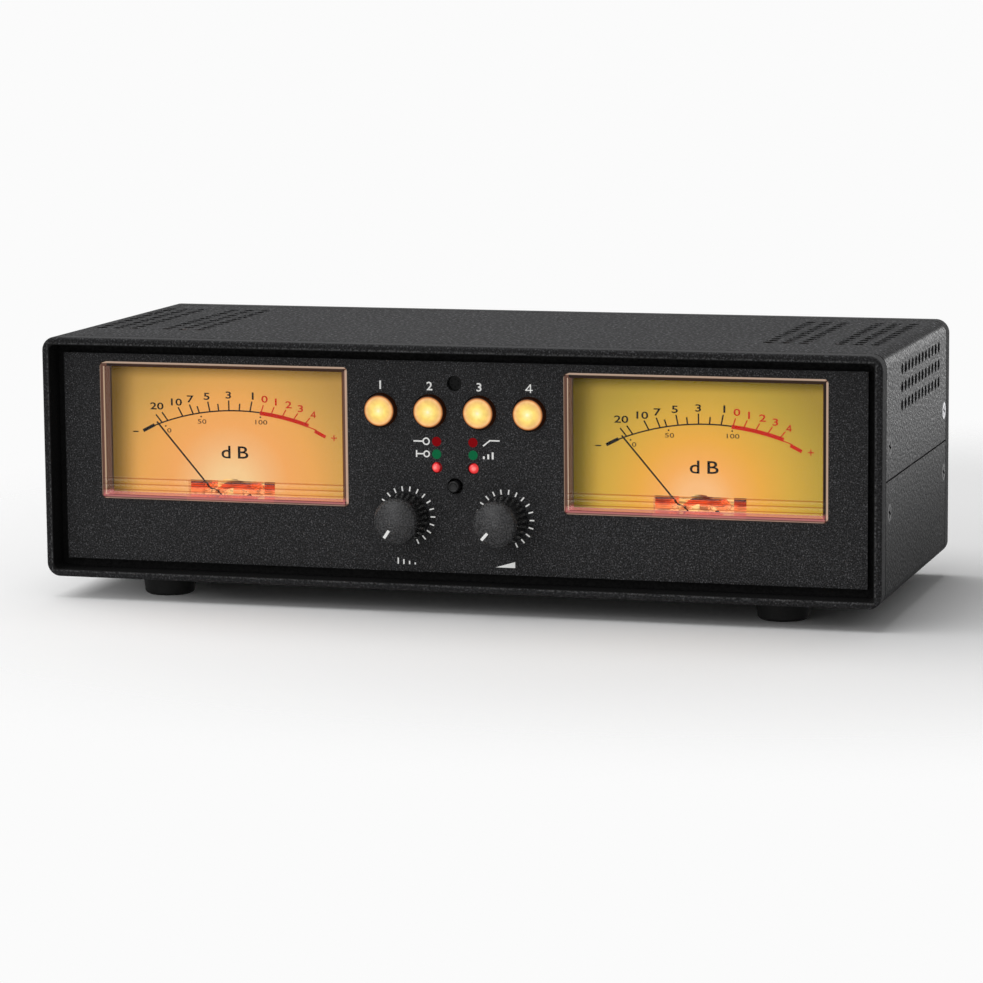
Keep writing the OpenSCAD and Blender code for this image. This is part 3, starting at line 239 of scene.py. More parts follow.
def panel_paint(name, color):
    material, tree, shader = principled(name, Specular_IOR_Level=PAINT_GLOSS)
    finish = painted(tree, shader, color, grain=0.4, contrast=0.75, roughness=0.62, depth=0.06)
    tree.links.new(finish, shader.inputs["Base Color"])
    return material


def cover_paint(name, color):
    """Coarse textured paint, glossiest on the upper sides, duller towards their foot and painted darker there as
    shade.
    """
    material, tree, shader = principled(name, Specular_IOR_Level=PAINT_GLOSS)
    _, _, z = axes(tree, place(tree, scale=(0, 0, PER_MM)))
    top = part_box("top_cover")[1][2] * PER_MM
    up_the_side = fade(tree, z, *SIDE_SHADE, 0.0, -0.36)
    flat_top = fade(tree, z, top - 2, top - 1, 0.0, 0.44)
    duller = number(tree, "ADD", up_the_side, flat_top)
    finish = painted(tree, shader, color, grain=1.0, contrast=0.85, roughness=0.8, depth=0.55,
                     duller=duller)
    # painted shade: the sides' colour darkens towards their foot
    shade = fade(tree, z, *SIDE_SHADE, 0.4, 1.0)
    tree.links.new(mix(tree, 1.0, finish, shade, "MULTIPLY"), shader.inputs["Base Color"])
    return material


def bezel_paint(name, color):
    """Fine paint, paler along the lip's inner edge as painted wear and edge highlight, and painted near-black
    shade inside the frame.
    """
    material, tree, shader = principled(name, Specular_IOR_Level=PAINT_GLOSS)
    finish = painted(tree, shader, color, grain=0.6, contrast=0.6, roughness=0.78, depth=0.06)
    centre = middle("front_bezel")
    width, _, height = extent("front_bezel")
    x, _, z = axes(tree, place(tree, centre, (PER_MM, PER_MM, PER_MM)))
    from_opening = past_edge(tree, x, z, width / 2 - BEZEL_LIP, height / 2 - BEZEL_LIP)
    # painted shade: the faces inside the opening are darkened to near black
    dark = fade(tree, from_opening, 0.02, 0.2, 0.05, 1.0)
    # painted wear and edge highlight: a thin, speckled paler line just outside the lip's inner edge
    line = number(tree, "MULTIPLY", fade(tree, from_opening, 0.15, 0.35),
                  fade(tree, from_opening, 0.5, 0.8, 1.0, 0.0))
    wear_and_glint_specks = ramp(tree, noise(tree, 0.8, detail=1), [(0.4, grey(0.0)), (0.6, srgb(64, 64, 64))])
    wear_and_edge_highlight = mix(tree, 1.0, wear_and_glint_specks, line, "MULTIPLY")
    edged = mix(tree, 1.0, finish, wear_and_edge_highlight, "ADD")
    tree.links.new(mix(tree, 1.0, edged, dark, "MULTIPLY"), shader.inputs["Base Color"])
    return material


def knob_plastic(side, color):
    """Grained cap, its face slightly crowned, so that it catches more light along the top; its skirt is darkened
    near black as painted shade.
    """
    material, tree, shader = principled(side + "_knob_plastic", Specular_IOR_Level=0.2)
    axis = pivot(side + "_knob_turn")
    radius = extent(side + "_knob").x / 2
    grains = noise(tree, 0.45, detail=1)
    tones = ramp(tree, grains, [
        (0.4, scaled(color, 0.6)), (0.52, color), (0.64, scaled(color, 1.9))])
    gloss = ramp(tree, grains, [(0.4, grey(0.26)), (0.65, grey(0.4))])
    tree.links.new(gloss, shader.inputs["Roughness"])
    away = distance(tree, place(tree, axis, (1 / (radius * MM), 0, 1 / (radius * MM))))
    # painted shade: the cap's rim and side are darkened to near black
    skirt_painted_shade = fade(tree, away, 0.94, 0.98, 1.0, 0.03)
    tree.links.new(mix(tree, 1.0, tones, skirt_painted_shade, "MULTIPLY"), shader.inputs["Base Color"])
    crown = number(tree, "MULTIPLY", number(tree, "POWER", away, 2), -KNOB_CROWN)
    skin = number(tree, "MULTIPLY", grains, 0.12)
    bump(tree, shader, number(tree, "ADD", crown, skin), 1.0)
    return material


def plastic(name, color, roughness, grain=0.3, depth=0.004, specular=0.3):
    """Moulded plastic or rubber with a fine skin."""
    material, tree, shader = principled(name, Specular_IOR_Level=specular)
    skin = noise(tree, grain, detail=2)
    blotch = noise(tree, grain * 20)
    tree.links.new(ramp(tree, blotch, [(0.3, scaled(color, 0.85)), (0.7, scaled(color, 1.15))]),
                   shader.inputs["Base Color"])
    tree.links.new(ramp(tree, skin, [(0.2, grey(roughness - 0.05)), (0.8, grey(roughness + 0.08))]),
                   shader.inputs["Roughness"])
    bump(tree, shader, skin, depth)
    return material


def metal(name, color, roughness):
    """Metal with a fine, uneven skin."""
    material, tree, shader = principled(name, Metallic=1.0)
    marks = noise(tree, 0.15, detail=3)
    tree.links.new(ramp(tree, marks, [(0.3, scaled(color, 0.85)), (0.7, scaled(color, 1.1))]),
                   shader.inputs["Base Color"])
    gloss = ramp(tree, marks, [(0.3, grey(roughness - 0.06)), (0.7, grey(roughness + 0.08))])
    tree.links.new(gloss, shader.inputs["Roughness"])
    return material


def print_ink(name, color, glow=0.0):
    """Screen-printed ink: matte, with a slightly uneven tone; any glow is painted light on the print."""
    material, tree, shader = principled(name, Roughness=0.6, Emission_Strength=glow,
                                        Specular_IOR_Level=0.04)
    blotch = noise(tree, 0.35)
    tone = ramp(tree, blotch, [(0.3, scaled(color, 0.88)), (0.7, scaled(color, 1.06))])
    tree.links.new(tone, shader.inputs["Base Color"])
    if glow:
        tree.links.new(tone, shader.inputs["Emission Color"])
    return material


def glowing(tree, shader, color, reflects):
    """Light comes out in this colour, and the surface itself reflects only part of it."""
    tree.links.new(color, shader.inputs["Emission Color"])
    tree.links.new(mix(tree, 1.0, color, grey(reflects), "MULTIPLY"), shader.inputs["Base Color"])


# ---- Meters: dial, lens, movement and the light inside them ----

# Height of the lamp's image below the lens centre, and the tone at each distance from it up to
# GLOW_REACH, in millimetres
GLOW_DROP = 16
GLOW_REACH = 50
DIAL_TONES = {
    "left": [(5, (250, 208, 152)), (12, (247, 186, 126)), (18, (246, 173, 102)),
             (26, (238, 171, 94)), (36, (206, 160, 86)), (44, (184, 144, 78))],
    "right": [(5, (254, 194, 134)), (11, (250, 178, 98)), (18, (238, 175, 77)),
              (26, (216, 172, 74)), (36, (184, 156, 68)), (44, (164, 138, 62))],
}
# What is left of that tone along the dial's upper edge
TOP_SHADE = {"left": 0.4, "right": 0.3}
# Width of the shade along the dial's left edge, what is left of the tone there, and the width of
# the upper shade, in millimetres
LEFT_SHADE_W = 9
LEFT_SHADE = 0.32
TOP_SHADE_W = 4.5
# What the lens reflects on top of the dial's own tone, taken off that tone beforehand
LENS_SHEEN = (0.025, 0.022, 0.022, 1)
# Low, so that the lens mirrors little of the pale backdrop
LENS_INDEX = 1.25
# The lens is ridged near its foot, up to this height, in millimetres
RIDGE_PITCH = 1.65
RIDGE_TOP = 6.4
# The movement's rear plate, this deep, is lit paler than what stands before it, in millimetres
PALE_DEPTH = 2.05
# The housing's walls are lit between these depths behind the dial's face, in millimetres
LIT_DEPTHS = (0.5, 16.2)


def lit_dial(side):
    """Translucent dial lit from behind, brightest low down, shaded along its left and top edges."""
    material, tree, shader = principled(side + "_dial_light", Roughness=0.5, Emission_Strength=0.97,
                                        Specular_IOR_Level=0.05)
    centre = middle(side + "_meter_lens")
    x, _, z = axes(tree, place(tree, centre, (PER_MM, 0, PER_MM)))
    lamp = centre - Vector((0, 0, GLOW_DROP * MM))
    away = distance(tree, place(tree, lamp, (PER_MM / GLOW_REACH, 0, PER_MM / GLOW_REACH)))
    field = ramp(tree, away, [(far / GLOW_REACH, srgb(*tone)) for far, tone in DIAL_TONES[side]])
    left = LENS_WALL - LENS_W / 2
    top = LENS_H / 2 - LENS_WALL
    from_left = fade(tree, x, left, left + LEFT_SHADE_W, LEFT_SHADE, 1.0)
    from_top = fade(tree, z, top - TOP_SHADE_W, top, 1.0, TOP_SHADE[side])
    rim = fade(tree, past_edge(tree, x, z, -left, top), 0.1, 0.5, 1.0, 0.0)
    paper = ramp(tree, noise(tree, 0.3, detail=2), [(0.3, grey(0.96)), (0.7, grey(1.03))])
    shade = number(tree, "MULTIPLY", number(tree, "MULTIPLY", from_left, from_top), rim)
    lit = mix(tree, 1.0, mix(tree, 1.0, field, paper, "MULTIPLY"), shade, "MULTIPLY")
    glowing(tree, shader, mix(tree, 1.0, lit, LENS_SHEEN, "SUBTRACT"), 0.04)
    return material


def clear_lens(side):
    """Clear tub: dark tinted walls, ridged near its foot, with a painted highlight glowing along its rim and a
    painted red glow along its foot.
    """
    material, tree, shader = principled(side + "_lens", Transmission_Weight=1.0, IOR=LENS_INDEX,
                                        Roughness=0.02, Emission_Strength=1.0)
    x, _, z = axes(tree, place(tree, middle(side + "_meter_lens"), (PER_MM, 0, PER_MM)))
    outward = past_edge(tree, x, z, LENS_W / 2 - LENS_WALL, LENS_H / 2 - LENS_WALL)
    across_wall = number(tree, "DIVIDE", number(tree, "ADD", outward, 0.05), LENS_WALL + 0.05)
    height = number(tree, "ADD", z, LENS_H / 2)
    low_down = fade(tree, height, LENS_WALL, LENS_WALL + 1.6, 1.0, 0.0)
    ridged = fade(tree, height, RIDGE_TOP - 0.4, RIDGE_TOP, 1.0, 0.0)
    groove = number(tree, "PINGPONG", number(tree, "SUBTRACT", height, 0.95), RIDGE_PITCH / 2)
    line = number(tree, "MULTIPLY", fade(tree, groove, 0.06, 0.24, 1.0, 0.0), ridged)

    face = mix(tree, line, srgb(252, 250, 246), srgb(206, 170, 140))
    wall = srgb(70, 44, 40)
    tint = ramp(tree, across_wall, [(0.0, grey(1.0)), (0.04, wall)], "CONSTANT")
    tree.links.new(mix(tree, 1.0, face, tint, "MULTIPLY"), shader.inputs["Base Color"])
    # painted glow: the walls give out dark red light, paler and pinker along the foot
    body = mix(tree, low_down, srgb(30, 18, 16), srgb(152, 84, 88))
    inside = ramp(tree, across_wall, [
        (0.0, grey(0.0)), (0.04, grey(1.0)), (0.45, grey(0.9)), (0.6, grey(0.1))])
    # painted highlight: the outermost part of the wall glows pale, as light on the lens's rounded rim
    rim = ramp(tree, across_wall, [
        (0.76, grey(0.0)), (0.86, srgb(150, 130, 114)), (1.0, srgb(172, 150, 132))])
    light = mix(tree, 1.0, mix(tree, 1.0, body, inside, "MULTIPLY"), rim, "ADD")
    tree.links.new(light, shader.inputs["Emission Color"])
    bump(tree, shader, number(tree, "MULTIPLY", groove, ridged), 0.12)
    return material


def lit_movement(side):
    """Coil, magnet and posts in the lamp's red glow, in streaks that the ridged lens draws out."""
    material, tree, shader = principled(side + "_movement_light", Roughness=0.4,
                                        Emission_Strength=0.95, Specular_IOR_Level=0.1)
    centre = middle(side + "_meter_lens")
    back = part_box(side + "_movement")[1][1] - PALE_DEPTH * MM
    foot = Vector((centre.x, back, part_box(side + "_meter_lens")[0][2]))
    x, y, z = axes(tree, place(tree, foot, (PER_MM,) * 3))
    metal_tone = ramp(tree, number(tree, "DIVIDE", z, 6), [
        (0.1, srgb(252, 176, 120)), (0.36, srgb(246, 104, 44)), (0.52, srgb(236, 72, 22)),
        (0.62, srgb(104, 26, 4))])
    plate_tone = ramp(tree, number(tree, "DIVIDE", number(tree, "ABSOLUTE", x), 14), [
        (0.1, srgb(255, 230, 160)), (0.7, srgb(255, 196, 112)), (1.0, srgb(244, 150, 76))])
    tone = mix(tree, fade(tree, y, -0.1, 0.1), metal_tone, plate_tone)
    streaks = noise(tree, 0.8, detail=2, vector=place(tree, scale=(0.16, 0.5, 1.3)))
    dark = ramp(tree, streaks, [(0.38, grey(0.45)), (0.5, grey(1.0)), (0.68, grey(1.25))])
    glowing(tree, shader, mix(tree, 1.0, tone, dark, "MULTIPLY"), 0.15)
    return material


def lit_housing(side):
    """Black moulding, with the lamp's orange light on the walls inside it."""
    material, tree, shader = principled(side + "_housing", Roughness=0.5, Emission_Strength=0.9)
    centre = middle(side + "_meter_lens")
    x, y, z = axes(tree, place(tree, Vector((centre.x, DIAL_Y, centre.z)), (PER_MM,) * 3))
    inside = number(tree, "LESS_THAN", past_edge(tree, x, z, LENS_W / 2 - 1, LENS_H / 2 + 6), 0.0)
    behind = number(tree, "MULTIPLY", number(tree, "GREATER_THAN", y, LIT_DEPTHS[0]),
                    number(tree, "LESS_THAN", y, LIT_DEPTHS[1]))
    within = number(tree, "MULTIPLY", inside, behind)
    haze = ramp(tree, noise(tree, 6), [(0.3, srgb(206, 118, 60)), (0.7, srgb(240, 170, 104))])
    tree.links.new(mix(tree, within, grey(0.0), haze), shader.inputs["Emission Color"])
    skin = ramp(tree, noise(tree, 0.3), [(0.3, srgb(24, 22, 22)), (0.7, srgb(34, 31, 30))])
    tree.links.new(skin, shader.inputs["Base Color"])
    return material


# ---- Lit buttons and lamps ----

def lit_button(name):
    """Lit cap: a pale heart, a golden face and a peach edge."""
    material, tree, shader = principled(name + "_light", Roughness=0.35, Emission_Strength=0.92,
                                        Specular_IOR_Level=0.15)
    away = distance(tree, place(tree, middle(name), (PER_MM / BUTTON_R, 0, PER_MM / BUTTON_R)))
    tone = ramp(tree, away, [
        (0.0, srgb(255, 248, 205)), (0.16, srgb(254, 236, 156)), (0.42, srgb(248, 216, 116)),
        (0.66, srgb(238, 194, 112)), (0.82, srgb(240, 188, 126)), (0.9, srgb(196, 122, 66)),
        (0.96, srgb(30, 12, 4))])
    mottle = ramp(tree, noise(tree, 1.6, detail=3), [(0.4, grey(0.9)), (0.62, grey(1.05))])
    glowing(tree, shader, mix(tree, 1.0, tone, mottle, "MULTIPLY"), 0.3)
    return material


def lit_lamp(name):
    """Red lens with the glow of its chip, brightest at the middle of each lamp."""
    material, tree, shader = principled(name, Roughness=0.15, Emission_Strength=0.8)
    x, _, z = axes(tree, place(tree, middle("level_lamps"), (PER_MM, 0, PER_MM)))
    apart = extent("level_lamps").x / 2 - LAMP_R
    from_middle = number(tree, "SUBTRACT", number(tree, "ABSOLUTE", x), apart)
    squares = number(tree, "ADD", number(tree, "POWER", from_middle, 2),
                     number(tree, "POWER", z, 2))
    tone = ramp(tree, number(tree, "DIVIDE", squares, LAMP_R ** 2), [
        (0.0, srgb(255, 132, 126)), (0.25, srgb(238, 68, 68)), (0.8, srgb(214, 44, 48)),
        (1.0, srgb(120, 12, 16))])
    glowing(tree, shader, tone, 0.5)
    return material


# ---- Every node gets the material of its record slot ----

MATERIALS = {
    "cover_black": cover_paint("cover_black", srgb(36, 36, 37)),
    "bezel_black": bezel_paint("bezel_black", srgb(31, 31, 32)),
    "panel_grey": panel_paint("panel_grey", srgb(35, 35, 36)),
    "foot_rubber": plastic("foot_rubber", srgb(22, 22, 22), 0.7, 0.4, 0.02),
    "bright_steel": metal("bright_steel", srgb(205, 205, 208), 0.28),
    "black_steel": plastic("black_steel", srgb(26, 26, 27), 0.4, 0.2, 0.004),
    "needle_black": plastic("needle_black", srgb(10, 5, 2), 0.5, 0.2, 0.001, 0.04),
    "spring_bronze": metal("spring_bronze", srgb(205, 165, 95), 0.3),
    "lamp_board": plastic("lamp_board", srgb(225, 200, 160), 0.4),
    "matte_black": plastic("matte_black", srgb(9, 9, 10), 0.4),
    "board_green": plastic("board_green", srgb(30, 84, 52), 0.35),
    "spacer_brass": metal("spacer_brass", srgb(200, 170, 90), 0.3),
    "pot_metal": metal("pot_metal", srgb(150, 152, 156), 0.35),
    "insulator_white": plastic("insulator_white", srgb(222, 222, 216), 0.4),
    "capacitor_sleeve": plastic("capacitor_sleeve", srgb(30, 36, 78), 0.3),
    "ribbon_grey": plastic("ribbon_grey", srgb(150, 150, 154), 0.5),
    "black_plastic": plastic("black_plastic", srgb(20, 20, 21), 0.45, 0.35, 0.01),
    # near black: the microphone's own black face, with painted shade of the hole it sits in
    "microphone_black_and_hole_shade": plastic("microphone_black_and_hole_shade", srgb(3, 3, 3), 0.25, 0.4, 0.02, 0.1),
    "lamp_red": lit_lamp("lamp_red"),
}
# Slots whose finish depends on the meter's side
BY_SIDE = {
    "clear_lens": clear_lens,
    "dial_face": lit_dial,
    "movement_metal": lit_movement,
    "housing_black": lit_housing,
}
KNOB_BLACK = srgb(70, 70, 71)
# The glow of these inks is painted light that brightens the prints; on the dial it stands for the backlight
# through the red ink
WHITE_INK = print_ink("white_ink", srgb(232, 232, 230), 0.3)
BLACK_INK = print_ink("black_ink", srgb(8, 4, 2))
RED_INK = print_ink("red_ink", srgb(190, 26, 0), 0.32)
RED_PANEL_INK = print_ink("red_panel_ink", srgb(128, 8, 14), 0.35)
GREEN_PANEL_INK = print_ink("green_panel_ink", srgb(14, 92, 56), 0.5)


def dress_nodes():
    slots = {part["node"]: part["material_slot"] for part in frame["record"]["subparts"]}
    for name, node in frame["nodes"].items():
        side = name.split("_")[0]
        if name == "microphone":
            material = MATERIALS["microphone_black_and_hole_shade"]
        elif name in ("left_knob", "right_knob"):
            material = knob_plastic(side, KNOB_BLACK)
        elif slots[name] == "button_amber":
            material = lit_button(name)
        elif slots[name] in BY_SIDE:
            material = BY_SIDE[slots[name]](side)
        else:
            material = MATERIALS[slots[name]]
        node.data.materials.clear()
        node.data.materials.append(material)


# ---- Prints ----

class Print:
    """Thin ink on a face that looks along -Y: flat shapes, in millimetres round an origin on it."""

    def __init__(self, name, origin, material, body, thickness=0.03):
        self.name = name
        self.origin = Vector(origin)
        self.material = material
        self.body = body
        self.thickness = thickness
        self.mesh = bmesh.new()

    def shape(self, points):
        """A closed prism; points run counter-clockwise seen from the front."""
        back = [self.mesh.verts.new(self.origin + Vector((x * MM, 0, z * MM))) for x, z in points]
        raised = Vector((0, -self.thickness * MM, 0))
        front = [self.mesh.verts.new(vert.co + raised) for vert in back]
        self.mesh.faces.new(front)
        self.mesh.faces.new(list(reversed(back)))
        count = len(points)
        for i in range(count):
            j = (i + 1) % count
            self.mesh.faces.new((back[i], back[j], front[j], front[i]))

    def stroke(self, start, end, width):
        start, end = Vector(start), Vector(end)
        across = (end - start).orthogonal().normalized() * width / 2
        self.shape([start - across, start + across, end + across, end - across][::-1])

    def disc(self, x, z, diameter, sides=28):
        self.shape([(x + math.cos(a) * diameter / 2, z + math.sin(a) * diameter / 2)
                    for a in (2 * math.pi * i / sides for i in range(sides))])

    def ring(self, x, z, radius, width):
        self.arc((x, z), radius - width / 2, 0, 360, width)

    def arc(self, centre, radius, start, end, width, steps=32):
        """A band on a circle; angles in degrees, clockwise from straight up."""
        def at(r, degrees):
            turn = math.radians(degrees)
            return (centre[0] + r * math.sin(turn), centre[1] + r * math.cos(turn))
        for i in range(steps):
            a = start + (end - start) * i / steps
            b = start + (end - start) * (i + 1) / steps
            self.shape([at(radius - width / 2, a), at(radius - width / 2, b),
                        at(radius + width / 2, b), at(radius + width / 2, a)])

    def text(self, words, x, z, height, stretch, bold):
        """Plain characters centred on (x, z), height millimetres high and widened by stretch."""
        curve = bpy.data.curves.new(self.name + "_text", "FONT")
        curve.body = words
        curve.align_x = "CENTER"
        curve.offset = bold
        curve.extrude = 0.01
        curve.resolution_u = 3
        maker = bpy.data.objects.new(self.name + "_text", curve)
        bpy.context.scene.collection.objects.link(maker)
        bpy.context.view_layer.update()
        graph = bpy.context.evaluated_depsgraph_get()
        letters = bpy.data.meshes.new_from_object(maker.evaluated_get(graph))
        low = [min(v.co[axis] for v in letters.vertices) for axis in range(3)]
        high = [max(v.co[axis] for v in letters.vertices) for axis in range(3)]
        scale = height * MM / (high[1] - low[1])
        for vert in letters.vertices:
            across = (vert.co.x - (low[0] + high[0]) / 2) * scale * stretch
            up = (vert.co.y - (low[1] + high[1]) / 2) * scale
            depth = self.thickness * MM * (vert.co.z - low[2]) / (high[2] - low[2])
            vert.co = self.origin + Vector((x * MM + across, -depth, z * MM + up))
        self.mesh.from_mesh(letters)
        bpy.data.objects.remove(maker)
        bpy.data.meshes.remove(letters)

    def four(self, x, z, height, width, thick):
        """The digit 4 in three strokes, so that it stays open at this size."""
        top, low = z + height / 2, z - height / 2
        stem, left, bar = x + width * 0.2, x - width / 2, z - height * 0.2
        self.stroke((stem, low), (stem, top), thick)
        self.stroke((stem, top - thick / 3), (left + thick / 2, bar), thick * 0.85)
        self.stroke((left, bar), (x + width / 2, bar), thick * 0.85)

    def finish(self):
        bmesh.ops.recalc_face_normals(self.mesh, faces=self.mesh.faces)
        data = bpy.data.meshes.new(self.name)
        self.mesh.to_mesh(data)
        self.mesh.free()
        data.materials.append(self.material)
        piece = bpy.data.objects.new(self.name, data)
        bpy.context.scene.collection.objects.link(piece)
        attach(piece, self.body)


# ---- Dial scale ----

# The scale's arc is flatter than the needle's swing: its centre and radius from the needle's pivot
ARC_CENTRE = (2.17, -38.72)
ARC_R = 68.29
# Angles where the black line starts, and where the red band starts, turns into a line and ends
BLACK_FROM, RED_FROM, RED_LINE_FROM, RED_TO = -43.4, 17.6, 43.0, 47.0
LONG, SHORT, RED_LONG = 3.0, 2.1, 2.4
BLACK_TICK_W, RED_TICK_W = 0.42, 0.34
# Angle of each black tick, clockwise from straight up at the pivot, and its length
BLACK_TICKS = [(-39.54, LONG), (-36.41, LONG), (-27.98, LONG), (-21.89, LONG), (-18.26, SHORT),
               (-11.92, LONG), (-6.65, SHORT), (-0.48, LONG), (5.63, SHORT), (11.96, LONG)]
RED_TICKS = [18.26, 23.85, 29.75, 35.48, 41.20]
# Height, widening and boldness of the numbers, and height, width and stroke of the red 4
BLACK_TYPE = (2.1, 1.5, 0.016)
RED_TYPE = (2.05, 1.5, 0.014)
RED_FOUR = (1.95, 1.7, 0.36)
LOWER_TYPE = (1.3, 1.55, 0.002)
# Angle of each number, and how far out from the arc its middle is
BLACK_NUMBERS = [("20", -36.73, 5.3), ("10", -27.53, 4.6), ("7", -20.44, 4.54), ("5", -11.94, 4.57),
                 ("3", -0.59, 4.56), ("1", 11.91, 4.64)]
RED_NUMBERS = [("0", 17.99, 4.2), ("1", 23.69, 4.0), ("2", 29.70, 4.15), ("3", 35.28, 4.1),
               ("4", 41.37, 3.74)]
# Numbers and dots of the scale below the arc, as (x, z) from the pivot
LOWER_NUMBERS = [("0", -18.89, 23.24), ("50", -8.62, 26.14), ("100", 9.67, 26.42)]
LOWER_DOTS = [(-19.94, 24.52), (-8.89, 27.58), (9.40, 27.86)]
# Start, end and width of the thick bars at both ends, and of their minus and plus
BLACK_BARS = [((-27.02, 22.92), (-23.42, 24.77), 0.95), ((-30.2, 22.65), (-28.5, 22.65), 0.36)]
RED_BARS = [((25.99, 24.29), (29.27, 22.66), 1.0), ((30.93, 22.45), (32.73, 22.45), 0.3),
            ((31.83, 21.55), (31.83, 23.35), 0.3)]
# The unit's letters, each with its x and its height, widening and boldness, and their middles' z
UNIT = [("d", -1.4, (3.7, 1.25, 0.01)), ("B", 3.9, (3.6, 1.3, 0.01))]
UNIT_Z = 17.4


def on_arc(degrees, out=0.0):
    """The point where a ray from the pivot meets the scale's arc, moved out along the ray."""
    turn = math.radians(degrees)
    ray = Vector((math.sin(turn), math.cos(turn)))
    centre = Vector(ARC_CENTRE)
    along = ray.dot(centre)
    return ray * (along + math.sqrt(along * along - centre.length_squared + ARC_R * ARC_R) + out)


def arc_angle(degrees):
    """Angle at the arc's own centre of that point."""
    point = on_arc(degrees) - Vector(ARC_CENTRE)
    return math.degrees(math.atan2(point.x, point.y))


def dial_print(side):
    axis = pivot(side + "_needle_swing")
    origin = Vector((axis.x, DIAL_Y, axis.z))
    black = Print(side + "_dial_black_print", origin, BLACK_INK, "case")
    red = Print(side + "_dial_red_print", origin, RED_INK, "case")
    for degrees, length in BLACK_TICKS:
        black.stroke(on_arc(degrees), on_arc(degrees, length), BLACK_TICK_W)
    for degrees in RED_TICKS:
        red.stroke(on_arc(degrees), on_arc(degrees, RED_LONG), RED_TICK_W)
    for words, degrees, out in BLACK_NUMBERS:
        black.text(words, *on_arc(degrees, out), *BLACK_TYPE)
    for words, degrees, out in RED_NUMBERS:
        if words == "4":
            red.four(*on_arc(degrees, out), *RED_FOUR)
        else:
            red.text(words, *on_arc(degrees, out), *RED_TYPE)
    black.arc(ARC_CENTRE, ARC_R, arc_angle(BLACK_FROM), arc_angle(RED_FROM), 0.4)
    red.arc(ARC_CENTRE, ARC_R - 0.15, arc_angle(RED_FROM), arc_angle(RED_LINE_FROM), 1.15)
    red.arc(ARC_CENTRE, ARC_R - 0.5, arc_angle(RED_LINE_FROM), arc_angle(RED_TO), 0.3, 4)
    for bar in BLACK_BARS:
        black.stroke(*bar)
    for bar in RED_BARS:
        red.stroke(*bar)
    for words, x, z in LOWER_NUMBERS:
        black.text(words, x, z, *LOWER_TYPE)
    for x, z in LOWER_DOTS:
        black.disc(x, z, 0.5, 12)
    for words, x, letter_type in UNIT:
        black.text(words, x, UNIT_Z, *letter_type)
    black.finish()
    red.finish()


# ---- Panel prints ----

KNOB_TICKS = 20
# Angle of the last tick, clockwise from straight up
KNOB_SWEEP = 155.2
# Height of a knob's axis above the sign under it
KNOB_SIGN_DROP = 13.0
# Distances of the ticks' ends from a knob's axis
TICK_FROM, TICK_TO = 7.25, 8.65
# Height of a number above its button's middle; height, widening and boldness of the numbers, and
# height, width and stroke of the 4
NUMBER_RISE = 7.3
NUMBER_TYPE = (2.45, 1.12, 0.014)
NUMBER_FOUR = (2.45, 2.2, 0.36)
# The dots: distance from the case's middle, heights above the lamps, and diameter
DOT_X = 5.4
DOT_RISES = (7.45, 3.83)
DOT_D = 2.75
# Width of the thin lines on the panel
THIN = 0.4
# The pointers' angles at rest, clockwise from straight up, and their ends' distances from the axis
POINTER_REST = {"left": -145.3, "right": -138.7}
POINTER_FROM, POINTER_TO = 3.35, 5.95


def panel_print():
    white = Print("panel_white_print", (0, PANEL_Y, 0), WHITE_INK, "case")
    red = Print("panel_red_print", (0, PANEL_Y, 0), RED_PANEL_INK, "case")
    green = Print("panel_green_print", (0, PANEL_Y, 0), GREEN_PANEL_INK, "case")
    for i in range(4):
        button = middle("selector_button_%d" % (i + 1)) / MM
        if i == 3:
            white.four(button.x, button.z + NUMBER_RISE, *NUMBER_FOUR)
        else:
            white.text(str(i + 1), button.x, button.z + NUMBER_RISE, *NUMBER_TYPE)
    for side in SIDES:
        knob = pivot(side + "_knob_turn") / MM
        for i in range(KNOB_TICKS):
            turn = math.radians(-KNOB_SWEEP + 2 * KNOB_SWEEP * i / (KNOB_TICKS - 1))
            ray = Vector((math.sin(turn), math.cos(turn)))
            centre = Vector((knob.x, knob.z))
            white.stroke(centre + ray * TICK_FROM, centre + ray * TICK_TO, THIN)
    lamps = middle("level_lamps") / MM
    upper, lower = (lamps.z + rise for rise in DOT_RISES)
    for x in (-DOT_X, DOT_X):
        red.disc(x, upper, DOT_D)
        green.disc(x, lower, DOT_D)
    # Plain signs beside the dots: two rings with lines, a slope that levels off, and growing bars
    white.stroke((-12.3, upper), (-9.6, upper), THIN)
    white.ring(-8.5, upper, 1.1, THIN)
    white.ring(-8.4, lower, 1.0, THIN)
    white.stroke((-11.4, lower - 1.0), (-11.4, lower + 1.0), THIN)
    white.stroke((-11.4, lower), (-9.4, lower), THIN)
    white.stroke((8.4, upper - 0.9), (10.4, upper + 0.7), THIN)
    white.stroke((10.3, upper + 0.7), (13.3, upper + 0.7), THIN)
    for i in range(3):
        white.stroke((8.6 + 1.3 * i, lower - 1.0), (8.6 + 1.3 * i, lower - 0.2 + 0.6 * i), 0.55)
    # Below the knobs: shrinking bars on the left, and a wedge on the right
    left, right = (pivot(side + "_knob_turn") / MM for side in SIDES)
    foot = left.z - KNOB_SIGN_DROP
    for i in range(4):
        x = left.x - 2.6 + 1.7 * i
        white.stroke((x, foot - 0.9), (x, foot + 0.9 - 0.4 * i), THIN)
    foot = right.z - KNOB_SIGN_DROP
    white.shape([(right.x - 2.9, foot - 0.8), (right.x + 2.9, foot - 0.8),
                 (right.x + 2.9, foot + 0.9)])
    white.finish()
    red.finish()
    green.finish()


